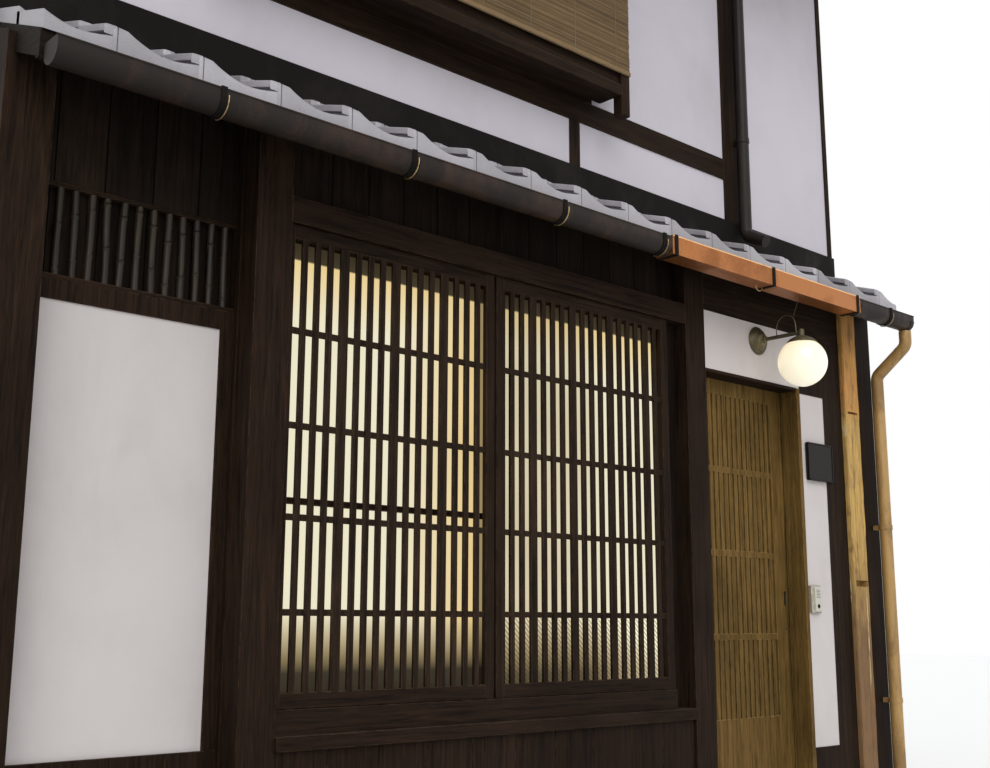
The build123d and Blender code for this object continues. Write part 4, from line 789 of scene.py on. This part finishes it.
sash_low, sash_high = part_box("window_sashes")
MEETING_X = -0.314          # seen from the street, both inner uprights hide behind the lattice's
MEETING_UPRIGHT, EDGE_UPRIGHT, MIDDLE_RAIL = 0.040, 0.010, (1.4135, 1.4325)
lights = light(sash_low.x, MEETING_X, (STILE, MEETING_UPRIGHT), sash_low, sash_high, MIDDLE_RAIL)
lights += light(MEETING_X, sash_high.x, (MEETING_UPRIGHT, EDGE_UPRIGHT), sash_low, sash_high)
piece("window_lights", lights, dark_upright, ["window_sashes"])

# %% Both lattice panels
for node, stile, groups in (("lattice_left", EDGE_STILE, (4, 4, 4, 4)),
                            ("lattice_right", MEETING_STILE, (3, 4, 4, 4, 2))):
    bars, frame_parts = lattice_panel(node, stile, groups)
    piece(node + "_bars", bars, lattice_wood, [node])
    piece(node + "_frame", frame_parts[:2], dark_upright)
    piece(node + "_rails", frame_parts[2:], dark_beam)

# %% [markdown]
# # Reed blind
# The blind is hundreds of thin reeds laid one on another and stitched by cords. A ribbed bump
# on a flat sheet could stand for them, but its edge would stay straight and solid. So each
# reed is a thin tube with its own thickness and ends, and each row of stitches is a thin cord
# that goes over one reed and under the next.


# %% Reed finish
REED_PITCH = 0.0046


def reed_finish():
    """Straw colour that changes from reed to reed, with long streaks and darker ends."""
    f = Finish("reed", Roughness=0.7)
    where = f.place()
    one = f.math("FLOOR", f.math("DIVIDE", f.axis(where, "Z"), REED_PITCH))
    own = f.add("TexWhiteNoise", {"W": one}, noise_dimensions="1D")
    streak = f.noise(f.place((0.05, 1, 1)), 300, 3)
    patch = f.noise(f.place((0.4, 1, 1)), 6, 3)
    tone = f.plus(f.times(own, 0.5), f.times(patch, 0.5))
    colour = f.mix(f.spread(tone, 0.2, 0.8), (0.085, 0.050, 0.018, 1), (0.230, 0.145, 0.058, 1))
    colour = f.mix(f.spread(streak, 0.5, 0.7, 0, 0.6), colour, (0.09, 0.055, 0.024, 1))
    return f.done(colour, f.spread(streak, 0.3, 0.7, 0.55, 0.8), streak, 0.0004)


reed = reed_finish()
cord_finish = plaster("blind_cord", (0.26, 0.20, 0.12), (0.14, 0.10, 0.06), 0.1)

# %% Reeds, battens and stitches
blind_low, blind_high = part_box("reed_blind")
chance = np.random.default_rng(33)
blind_y = (blind_low.y + blind_high.y) / 2
reed_z = np.arange(blind_low.z + 0.022, blind_high.z - 0.022, REED_PITCH)
reeds = len(reed_z)
steps = 7
along = np.linspace(0, 1, steps)
ends = chance.uniform(0, 0.006, (reeds, 2))
x0, x1 = blind_low.x + ends[:, :1], blind_high.x - ends[:, 1:]
reed_x = x0 + (x1 - x0) * along[None]
bend = chance.normal(0, 0.0004, (reeds, steps, 1))
thick = chance.uniform(0.0019, 0.00235, (reeds, 1, 1))
angle = 2 * math.pi * np.arange(6) / 6
rings = xyz(reed_x[:, :, None], blind_y + bend * 0.6 + thick * np.cos(angle),
            reed_z[:, None, None] + bend * 0.5 + thick * np.sin(angle))
xs = np.linspace(blind_low.x, blind_high.x, 9)
battens = np.array([tube(xyz(xs, blind_y, z), 0.0062, 14)
                    for z in (blind_low.z + 0.010, blind_high.z - 0.010)])
battens[..., 2] += (battens[..., 2] - battens[..., 2].mean(axis=2, keepdims=True)) * 0.75
piece("reed_screen", [skin(rings), skin(battens)], reed, ["reed_blind"])

stitch_x = np.linspace(blind_low.x + 0.09, blind_high.x - 0.09, 8)
zz = np.arange(blind_low.z + 0.006, blind_high.z - 0.004, REED_PITCH / 2)
side = np.where(np.arange(len(zz)) % 2 == 0, -0.0034, -0.0027)
stitches = [tube(xyz(x + 0.0035 * np.sin(zz * 2.1 + x * 5), blind_y + side, zz), 0.0011, 5)
            for x in stitch_x]
piece("blind_stitches", skin(stitches), cord_finish)

# %% [markdown]
# # The old post
# The corner keeps a post from an older house: orange where rain never reached it, grey-brown
# below, split by long cracks and cut by two empty mortises. A straight box would lose all of that,
# so its outline is pushed in and out by formulas: round worn corners, cracks that wander,
# and a notch where each mortise was cut.

# %% Old post: outline and cracks
post_low, post_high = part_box("weathered_post")
SIDE_POINTS = 34
MORTISES = ((1.230, 0.098, 0.026), (2.042, 0.084, 0.009))       # foot, width and height of each
CRACK_FADE = 0.12
STREET_CRACKS = (               # place, reach, wander, width, depth and phase of each
    (0.30, (0.15, 1.05), 0.04, 0.030, 0.014, 0.4),
    (-0.38, (0.55, 1.95), 0.05, 0.026, 0.011, 2.2),
    (0.52, (1.3, 2.55), 0.03, 0.024, 0.010, 4.0),
    (0.05, (2.08, 2.60), 0.04, 0.022, 0.008, 1.1),
)


def post_top(y):
    """Underside of the sloping boards, which the post is cut to."""
    return post_high.z - PENT_SLOPE * (post_high.y - y)


def fissure(u, z, where, reach, wander, width, deep, phase):
    """A crack: a narrow bell curve across u whose centre wanders with z and fades at its ends."""
    centre = where + wander * (np.sin(3.1 * z + phase) + 0.5 * np.sin(8.3 * z + 2 * phase))
    low, high = reach
    fade = np.clip(np.minimum(z - low, high - z) / CRACK_FADE, 0, 1)
    return deep * fade * np.exp(-(((u - centre) / width) ** 2))


def old_post():
    """Rings of a square section up the post. Each side's points move inwards by the cracks and
    a slow waviness; corners are rounded by pulling points near them towards the middle."""
    half_x, half_y = (post_high.x - post_low.x) / 2, (post_high.y - post_low.y) / 2
    mid_x, mid_y = (post_high.x + post_low.x) / 2, (post_high.y + post_low.y) / 2
    u = np.linspace(-1, 1, SIDE_POINTS + 1)[:-1]
    z = np.linspace(post_low.z, post_high.z - 0.001, 250)
    for z0, _, tall in MORTISES:
        z = z[(z < z0 - 0.003) | (z > z0 + tall + 0.003)]
        z = np.concatenate([z, [z0 - 0.0012, z0, z0 + tall, z0 + tall + 0.0012]])
    z = np.sort(z)
    rings = []
    faces_of_post = (((1, 0), (0, -1)), ((0, 1), (1, 0)), ((-1, 0), (0, 1)), ((0, -1), (-1, 0)))
    uu, zz = np.meshgrid(u, z)
    for face, (run, out) in enumerate(faces_of_post):
        across = np.abs(run[0]) * half_x + np.abs(run[1]) * half_y
        dent = 0.0016 * (1 + np.sin(zz * 2.3 + face) * np.sin(uu * 3 + face * 2 + zz * 0.7))
        dent += 0.0006 * np.sin(uu * 57 + 3 * np.sin(zz * 1.7 + face))
        if face == 0:
            for crack in STREET_CRACKS:
                dent += fissure(uu, zz, *crack)
        else:
            dent += fissure(uu, zz, 0.2 * face - 0.4, (0.3, 2.3), 0.05, 0.028, 0.010, 1.7 * face)
        round_off = np.clip((np.abs(uu) - 0.86) / 0.14, 0, 1) ** 2
        chipped = 0.0045 + 0.0035 * np.sin(zz * 9.0 + face * 1.3) * np.sin(zz * 23.0 + face)
        dent += round_off * np.clip(chipped, 0.0015, 0.01)
        if face == 0:
            for z0, wide, tall in MORTISES:
                inside = (np.abs(uu * across) < wide / 2) & (zz > z0 - 1e-6) & (zz < z0 + tall + 1e-6)
                dent = np.where(inside, 0.040, dent)
        x = mid_x + run[0] * uu * half_x + out[0] * (half_x - dent)
        y = mid_y + run[1] * uu * half_y + out[1] * (half_y - dent)
        shrink = 1 - round_off * 0.035
        x = np.where(run[0] != 0, mid_x + (x - mid_x) * shrink, x)
        y = np.where(run[1] != 0, mid_y + (y - mid_y) * shrink, y)
        rings.append(xyz(x, y, zz))
    rings = np.concatenate(rings, 1)
    rings[..., 2] = np.minimum(rings[..., 2], post_top(rings[..., 1]) - 0.0005)
    return rings


# %% Old post: finish
RAIN_LINE, DARK_FOOT = (2.05, 2.14), (1.75, 1.35)       # heights between which one tone gives way
SPLINTER_FOOT, SPLINTER_TOP = (0.74, 0.80), (1.23, 1.21)
# the two heights of the painted highlight on the left edge, each a foot and a top
LIT_EDGE_SPANS = (((0.98, 1.05), (1.38, 1.30)), ((1.62, 1.70), (2.02, 1.96)))


def old_wood():
    """Orange pine above, yellow-grey then brown below, with long grain, cracks drawn darker and a pale
    splinter line where the surface was torn. A painted highlight runs down the left edge at two heights."""
    f = Finish("old_wood")
    where = f.place((1, 1, 0.035))
    height = f.axis(f.place(), "Z")
    fibre = f.noise(where, 330, 4, 0.3)
    growth = f.noise(where, 60, 3, 1.2)
    patch = f.noise(f.place((1, 1, 0.25)), 16, 5, 0.8)
    above = f.spread(f.plus(height, f.times(patch, 0.12)), *RAIN_LINE)
    below = f.spread(f.plus(height, f.times(patch, 0.7)), *DARK_FOOT)
    orange = f.mix(growth, (0.40, 0.165, 0.034, 1), (0.80, 0.42, 0.10, 1))
    yellow = f.mix(growth, (0.42, 0.235, 0.055, 1), (0.76, 0.50, 0.15, 1))
    brown = f.mix(growth, (0.10, 0.048, 0.017, 1), (0.30, 0.160, 0.062, 1))
    blotch = f.spread(f.noise(f.place((1, 1, 0.4)), 22, 3, 0.5), 0.56, 0.66)
    colour = f.mix(above, yellow, orange)
    colour = f.mix(f.times(below, 0.95), colour, brown)
    colour = f.mix(f.times(blotch, 0.55), colour, (0.16, 0.075, 0.022, 1))
    across = f.plus(f.axis(f.place(), "X"), f.times(patch, 0.026))
    splinter = f.math("COMPARE", across, post_high.x - 0.014, 0.0042)
    torn = f.times(f.spread(height, *SPLINTER_TOP), f.spread(height, *SPLINTER_FOOT))
    torn = f.times(torn, f.spread(fibre, 0.40, 0.55))
    colour = f.mix(f.times(splinter, torn), colour, (0.62, 0.50, 0.26, 1))
    # painted highlight: a pale strip down the left edge, where the side face catches the light
    lit_side = f.math("LESS_THAN", across, post_low.x + 0.011)
    lit_spans = [f.times(f.spread(height, *foot), f.spread(height, *top)) for foot, top in LIT_EDGE_SPANS]
    lit_span = f.math("MAXIMUM", *lit_spans)
    colour = f.mix(f.times(f.times(lit_side, lit_span), 0.55), colour, (0.86, 0.74, 0.46, 1))
    colour = f.mix(f.spread(fibre, 0.62, 0.42, 0, 0.45), colour, (0.09, 0.05, 0.025, 1))
    relief = f.plus(f.times(fibre, 0.6), growth)
    return f.done(colour, f.spread(fibre, 0.3, 0.7, 0.55, 0.85), relief, 0.0022)


piece("old_post", skin(old_post()), old_wood(), ["weathered_post"], smooth_angle=50)

# %% [markdown]
# # The entrance lamp
# An opal globe hangs from a bronze arm over the door. In the frame it is a sphere cut flat at
# its neck. A turned profile gives the same globe with a lip. The dish on the wall, the collar
# and the screws are turned too, and a wire runs in a loop over the arm and up to the gutter.

# %% Globe, collar and wire
globe_low, globe_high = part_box("lamp_globe")
globe_radius = (globe_high.x - globe_low.x) / 2
globe_centre = np.array([(globe_low.x + globe_high.x) / 2, (globe_low.y + globe_high.y) / 2,
                         globe_low.z + globe_radius])
neck = globe_high.z - globe_centre[2]
polar = np.linspace(-math.pi / 2, math.asin(neck / globe_radius), 40)
profile = [(globe_radius * math.cos(a), globe_radius * math.sin(a)) for a in polar]
lip = profile[-1][0]
profile += [(lip - 0.002, neck + 0.001), (lip - 0.006, neck + 0.001), (0.004, neck)]
globe_shell = skin(turned(globe_centre, (0, 0, 1), profile, 56))
piece("globe", globe_shell, opal, ["lamp_globe"], smooth_angle=50)

bracket_low, bracket_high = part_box("lamp_bracket")
lamp_x, wall_y, arm_z = globe_centre[0], bracket_high.y, (bracket_low.z + bracket_high.z) / 2
dish_profile = [(0.004, 0.0), (0.061, 0.0), (0.0635, 0.0025), (0.062, 0.0065), (0.059, 0.0080),
                (0.053, 0.016), (0.043, 0.024), (0.034, 0.0285), (0.032, 0.0325), (0.026, 0.036),
                (0.0165, 0.039), (0.0150, 0.047), (0.012, 0.049), (0.004, 0.050)]
dish = skin(turned((lamp_x, wall_y, arm_z), (0, -1, 0), dish_profile, 48))
arm_y = np.linspace(wall_y - 0.040, globe_centre[1] - 0.004, 12)
arm = skin(tube(xyz(lamp_x, arm_y, arm_z), 0.0085, 16))
stem_profile = [(0.004, 0.001), (0.020, 0.001), (0.018, 0.012), (0.0125, 0.018), (0.0125, 0.046),
                (0.009, 0.050), (0.004, 0.051)]
stem = skin(turned(globe_centre, (0, 0, 1), np.array(stem_profile) + (0, neck), 24))
piece("lamp_arm", [dish, arm, stem], bronze, ["lamp_bracket"], smooth_angle=45)

cap_profile = [(0.004, 0.020), (0.020, 0.019), (0.030, 0.015), (0.047, 0.006), (0.059, -0.004),
               (0.0655, -0.013), (0.0650, -0.0145), (0.0632, -0.013), (0.057, -0.004), (0.045, 0.003),
               (0.004, 0.004)]
cap = skin(turned(globe_centre, (0, 0, 1), np.array(cap_profile) + (0, neck), 48))
SCREW_CIRCLE, screw_profile = 0.050, [(0.002, 0), (0.0042, 0.001), (0.0038, 0.0042), (0.001, 0.0055)]
screws = [
    skin(turned((lamp_x + SCREW_CIRCLE * math.cos(a), wall_y - 0.0165, arm_z + SCREW_CIRCLE * math.sin(a)),
                (0, -1, 0), screw_profile, 12))
    for a in (0.5, 2.6, 4.7)
]
turns = np.linspace(0, 1, 26)
loop_y = wall_y - 0.1035 - 0.1 * (1 - np.cos(math.pi * turns)) / 2
loop = xyz(lamp_x, loop_y, arm_z + 0.006 + 0.082 * np.sin(math.pi * turns) ** 0.6)
drop = np.linspace(0, 1, 8)
new_low, new_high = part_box("new_gutter")
gutter_middle, gutter_floor = (new_low.y + new_high.y) / 2, new_low.z
TIE = 19                    # the point of the loop from which the wire goes up to the gutter
hanging = xyz(lamp_x, loop_y[TIE] + (gutter_middle - loop_y[TIE]) * drop,
              loop[TIE, 2] + (gutter_floor + 0.001 - loop[TIE, 2]) * drop)
wires = [skin(tube(loop, 0.0022, 8)), skin(tube(hanging, 0.0011, 6))]
piece("lamp_fittings", [cap, *screws, *wires], bronze, smooth_angle=45)

# %% [markdown]
# # Gutter edges
# Sheet copper is too thin to show as drawn: what the eye sees is its rolled lip, the seams and
# the straps. Thickening the whole gutter would make it heavy, so a bead is run along each lip,
# a seam along the lower corner and a strap round each joint.

# %% Beads, seams and straps
old_low, old_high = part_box("old_gutter")
eave_low, eave_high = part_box("upper_gutters")


def run_along(x0, x1, y, z, radius):
    """A bead from x0 to x1: a small circle carried along the gutter."""
    return tube(xyz(np.linspace(x0, x1, 14), y, z), radius, 8)


BEAD = 0.0042
old_beads = [run_along(a, b, old_low.y + 0.002, old_high.z - 0.003, BEAD)
             for a, b in ((old_low.x, new_low.x), (new_high.x, old_high.x))]
old_beads += [run_along(eave_low.x, eave_high.x, y, eave_high.z - 0.003, BEAD)
              for y in (eave_low.y + 0.002, eave_high.y - 0.002)]


def half_strap(x, y, z, radius, width, thick=0.0022, sides=18):
    """A band under a half-round gutter: two arcs joined into a thin curved bar."""
    angle = np.linspace(math.pi, 2 * math.pi, sides)
    outer, inner = radius + thick, radius + 0.0004
    arc_y = y + np.concatenate([outer * np.cos(angle), inner * np.cos(angle[::-1])])
    arc_z = z + np.concatenate([outer * np.sin(angle), inner * np.sin(angle[::-1])])
    return [xyz(x + w, arc_y, arc_z) for w in (-width / 2, width / 2)]


old_middle = (old_low.y + old_high.y) / 2
GUTTER_RADIUS, STRAP_WIDTH = 0.043, 0.026
old_axis = old_low.z + GUTTER_RADIUS
straps = [half_strap(x, old_middle, old_axis, GUTTER_RADIUS, STRAP_WIDTH)
          for x in (-0.93, 0.285, 1.660, 2.105)]
piece("gutter_beads", [skin(old_beads), skin(straps)], old_copper)

# painted highlight: the rim bead is brighter copper than the gutter's face
new_rim = run_along(new_low.x, new_high.x, new_low.y + 0.0015, new_high.z - 0.002, 0.0035)
new_seam = run_along(new_low.x, new_high.x, new_low.y + 0.002, new_low.z + 0.002, 0.0028)
piece("new_gutter_rim", skin(new_rim), copper_highlight)
piece("new_gutter_seam", skin(new_seam), new_copper)

OLD_HANGERS = (-1.645, -0.965, -0.287, 0.257, 1.910)
angle, hook_radius = np.linspace(math.radians(172), math.radians(300), 16), GUTTER_RADIUS + 0.0055
hooks = [xyz(x + 0.013, old_middle + hook_radius * np.cos(angle), old_axis + hook_radius * np.sin(angle))
         for x in OLD_HANGERS]
under = np.linspace(0, 1, 16)
hooks.append(xyz(0.905 + 0.045 * under, gutter_middle + 0.007,
                 gutter_floor + 0.001 - 0.022 * np.sin(math.pi * under) ** 0.35))
piece("gutter_hooks", skin([tube(path, 0.0018, 8) for path in hooks]), brass)

# %% [markdown]
# # Planks below the window
# The apron under the sill and the low boards of the left bay are vertical planks with a slightly
# rounded face. Bump alone would leave their edges sharp in a low light, so each plank is a
# thin slab whose face falls off at both sides as a power of the distance from its middle.


# %% Planks
def planks(x0, x1, z0, z1, y, width, thick, seed):
    """Slabs side by side: the face stands out by thick, less an eighth power near the edges."""
    count = max(1, round((x1 - x0) / width))
    pitch = (x1 - x0) / count
    across = np.array([-1, -0.97, -0.9, -0.6, 0, 0.6, 0.9, 0.97, 1])
    rise = np.linspace(z0, z1, 8)
    chance = np.random.default_rng(seed)
    middles = x0 + pitch * (np.arange(count) + 0.5)
    crown = thick * (1 - 0.55 * np.abs(across) ** 8)
    own = chance.normal(0, 0.0004, (count, 1, 1))
    bow = 0.0005 * np.sin(rise[None, :, None] * 4 + chance.uniform(0, 6, (count, 1, 1)))
    x, z = middles[:, None, None] + across * (pitch / 2 - 0.0012), rise[:, None]
    return slab(xyz(x, y - crown + own + bow, z), xyz(x, y, z))


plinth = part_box("end_posts")[0].z
APRON_RIGHT, LEFT_BOARDS_FACE = 0.701, -3.232
sill_low, lattice_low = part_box("window_sill")[0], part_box("lattice_left")[0]
panel_low, panel_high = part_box("left_panel_frame")
apron = planks(lattice_low.x, APRON_RIGHT, plinth, sill_low.z, lattice_low.y, 0.19, 0.006, 41)
left_low = planks(panel_low.x, panel_high.x, plinth, panel_low.z, LEFT_BOARDS_FACE, 0.16, 0.005, 42)
piece("front_planks", [apron, left_low], dark_upright)

# %% [markdown]
# # Small fittings at the door
# A lacquered board for a name, left bare, a door station with a slotted speaker and one button,
# and thin wooden trims that close the edges of plaster and boards. Each is made of bevelled
# blocks, because at this size a soft edge is the whole difference between a part and a box.


# %% Lacquer finish
def lacquer(name):
    """Black lacquer over planed wood: nearly black, glossy, with faint long ripples."""
    f = Finish(name, Coat_Weight=0.08, Coat_Roughness=0.15, Specular_IOR_Level=0.12)
    ripple = f.noise(f.place((1, 1, 0.1)), 60, 3)
    colour = f.mix(f.spread(ripple, 0.35, 0.7), (0.0045, 0.0038, 0.0034, 1), (0.012, 0.0095, 0.008, 1))
    return f.done(colour, f.spread(ripple, 0.3, 0.7, 0.32, 0.5), ripple, 0.0004)


black_lacquer = lacquer("black_lacquer")
pale_plastic = plaster("station_face", (0.55, 0.53, 0.46), (0.45, 0.43, 0.37), 0.05)

# %% Name board and door station
RIM, RIM_PROUD = 0.007, 0.003
(px0, py0, pz0), (px1, py1, pz1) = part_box("name_plate")
plate_parts = [block((px0, py0 + RIM_PROUD, pz0), (px1, py1, pz1))]
plate_parts += [
    block((x0, py0, z0), (x1, py0 + 0.008, z1), 0.0012)
    for x0, x1, z0, z1 in ((px0, px1, pz0, pz0 + RIM), (px0, px1, pz1 - RIM, pz1),
                           (px0, px0 + RIM, pz0, pz1), (px1 - RIM, px1, pz0, pz1))
]
piece("name_board", plate_parts, black_lacquer, ["name_plate"])

(sx0, sy0, sz0), (sx1, sy1, sz1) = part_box("door_station")
housing = [block((sx0, sy0 + 0.003, sz0), (sx1, sy1, sz1), 0.003)]
cover = [block((sx0 + 0.024, sy0, sz0 + 0.006), (sx1 - 0.005, sy0 + 0.006, sz1 - 0.006), 0.0015)]
slots = [block((sx0 + 0.032, sy0 - 0.0002, z), (sx1 - 0.013, sy0 + 0.004, z + 0.0022), 0.0004)
         for z in sz1 - 0.022 - 0.0065 * np.arange(6)]
knob = skin(turned(((sx0 + sx1) / 2 + 0.010, sy0 + 0.002, sz0 + 0.030), (0, -1, 0),
                   [(0.002, 0), (0.0098, 0), (0.0098, 0.0022), (0.0085, 0.0034), (0.002, 0.0038)], 24))
piece("station_housing", housing, station_metal, ["door_station"])
piece("station_cover", cover, pale_plastic)
piece("station_slots", slots + [knob], black_metal)

# %% Trims: lintel soffit, post fillet and a short post
POST_FACE, FRAME_DEPTH, WALL_FACE = -3.340, 0.090, -3.160
ENTRY_LEFT, FILLET_TOP, STUB_X, STUB_BACK = 0.828, 2.690, (0.208, 0.270), -3.120
post_rear = POST_FACE + FRAME_DEPTH
jamb_low, jamb_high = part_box("door_jamb")
soffit = block((ENTRY_LEFT, POST_FACE - 0.0005, jamb_high.z - 0.012),
               (jamb_low.x, post_rear - 0.0005, jamb_high.z + 0.0015))
piece("lintel_soffit", [soffit], dark_beam)
post_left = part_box("front_posts")[0].x
fillet = block((post_left - 0.001, post_rear - 0.002, plinth),
               (post_left + 0.045, WALL_FACE - 0.006, FILLET_TOP))
piece("post_fillet", [fillet], dark_upright)
rail_low, panels_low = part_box("upper_beams")[0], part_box("upper_panels")[0]
stub = block((STUB_X[0], rail_low.y + 0.002, panels_low.z - 0.01),
             (STUB_X[1], STUB_BACK, rail_low.z + 0.006))
piece("upper_stub", [stub], dark_upright)

# %% [markdown]
# # The window box
# A frame of square timbers before the upper window carries the blind. Its uprights hang below
# its floor, and broad arms run back to the wall. The CAD box could stay, but its edges are sharp
# and its lower arms sit too low. So bevelled blocks take its place, and thin boards close the gap
# between its lower rail and the blind.

# %% Window box
box_low, box_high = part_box("window_box")
TIMBER, ARM, SINK = 0.050, 0.096, 0.003
post_back, wall_face = box_low.y + TIMBER, box_high.y
rail_z, head_z = box_low.z + 0.082, box_high.z - TIMBER
inner_left, inner_right = box_low.x + TIMBER, box_high.x - TIMBER
uprights = [block((x, box_low.y, box_low.z), (x + TIMBER, post_back, box_high.z), 0.003)
            for x in (box_low.x, inner_right)]
piece("box_uprights", uprights, dark_upright, ["window_box"])
near, far = (inner_left - 0.004, box_low.y + 0.001), (inner_right + 0.004, post_back - 0.001)
crossing = [block((*near, z), (*far, z + TIMBER), 0.003) for z in (rail_z, head_z)]
members = [((inner_left, rail_z + 0.009), (box_high.x - 0.097, rail_z + 0.027))]
members += [((x + 0.001, head_z + 0.001), (x + 0.049, box_high.z - 0.001))
            for x in (box_low.x, inner_right)]
members += [((x, rail_z + 0.0315), (x + ARM, rail_z + 0.080))
            for x in (box_low.x + 0.001, box_high.x - 0.097)]
crossing += [block((x0, post_back - SINK, z0), (x1, wall_face, z1)) for (x0, z0), (x1, z1) in members]
piece("box_rails", crossing, dark_beam)
kick_z, kick_top = rail_z + TIMBER - 0.004, blind_low.z + 0.060
kicks = [block((inner_left - 0.003, box_low.y + 0.016, kick_z),
               (inner_right + 0.003, box_low.y + 0.028, kick_top))]
kicks += [block((x, post_back - 0.010, kick_z), (x + 0.012, wall_face, kick_top))
          for x in (box_low.x + 0.010, box_high.x - 0.022)]
piece("box_kick_boards", kicks, dark_beam)

# %% [markdown]
# # The camera
# The photograph was taken from low on the left, close to the wall, with the head tipped back a
# little. The angles come from where the posts and beams meet the frame's edges, so the house is
# seen here as it was there.

# %% Camera
camera = bpy.data.objects.new("camera", bpy.data.cameras.new("camera"))
bpy.context.scene.collection.objects.link(camera)
camera.location = (-3.25, -6.46, 1.05)
camera.rotation_euler = [math.radians(a) for a in (101.12, -0.11, -42.66)]
camera.data.sensor_width = 36
camera.data.lens = 44.61
camera.data.clip_end = 200
bpy.context.scene.camera = camera
print("camera at", tuple(round(v, 2) for v in camera.location))

# %% [markdown]
# # Light and floor
# Plain soft light shows each finish as it is. A large lamp high on the left, a weaker one on
# the right and an even sky are enough. The white background belongs to the sky only where
# the camera, a gloss or a glass looks at it, so it adds no light to the house.


# %% Lamps, sky and floor
def soft_lamp(name, strength, angle, turn):
    """A sun whose wide angle gives soft shadows."""
    lamp = bpy.data.objects.new(name, bpy.data.lights.new(name, "SUN"))
    lamp.data.energy = strength
    lamp.data.angle = math.radians(angle)
    lamp.rotation_euler = [math.radians(a) for a in turn]
    bpy.context.scene.collection.objects.link(lamp)


soft_lamp("street_light", 1.55, 50, (52, 0, -34))
soft_lamp("garden_light", 1.1, 60, (50, 0, 150))

world = bpy.data.worlds.new("sky")
bpy.context.scene.world = world
world.use_nodes = True
sky = world.node_tree
sky.nodes.clear()
kinds = ("LightPath", "Math", "Math", "Background", "Background", "MixShader", "OutputWorld")
rays, seen, seen_all, even, white, blend, sky_out = [sky.nodes.new("ShaderNode" + kind) for kind in kinds]
seen.operation = seen_all.operation = "ADD"
seen_all.use_clamp = True
even.inputs["Color"].default_value = (0.62, 0.63, 0.65, 1)
white.inputs["Color"].default_value = (1, 1, 1, 1)
for source, target in (
    (rays.outputs["Is Camera Ray"], seen.inputs[0]),
    (rays.outputs["Is Glossy Ray"], seen.inputs[1]),
    (seen.outputs[0], seen_all.inputs[0]),
    (rays.outputs["Is Transmission Ray"], seen_all.inputs[1]),
    (seen_all.outputs[0], blend.inputs[0]),
    (even.outputs[0], blend.inputs[1]),
    (white.outputs[0], blend.inputs[2]),
    (blend.outputs[0], sky_out.inputs[0]),
):
    sky.links.new(source, target)

floor_finish = Finish("floor_finish", Roughness=0.85)
floor_finish.shader.inputs["Base Color"].default_value = (0.80, 0.80, 0.79, 1)
floor_mesh = bpy.data.meshes.new("floor")
FLOOR = 40.0
floor_mesh.from_pydata([(-FLOOR, -FLOOR, 0), (FLOOR, -FLOOR, 0), (FLOOR, FLOOR, 0), (-FLOOR, FLOOR, 0)], [],
                       [(0, 1, 2, 3)])
floor_mesh.materials.append(floor_finish.material)
floor = bpy.data.objects.new("floor", floor_mesh)
bpy.context.scene.collection.objects.link(floor)
bpy.context.scene.view_settings.view_transform = "Standard"
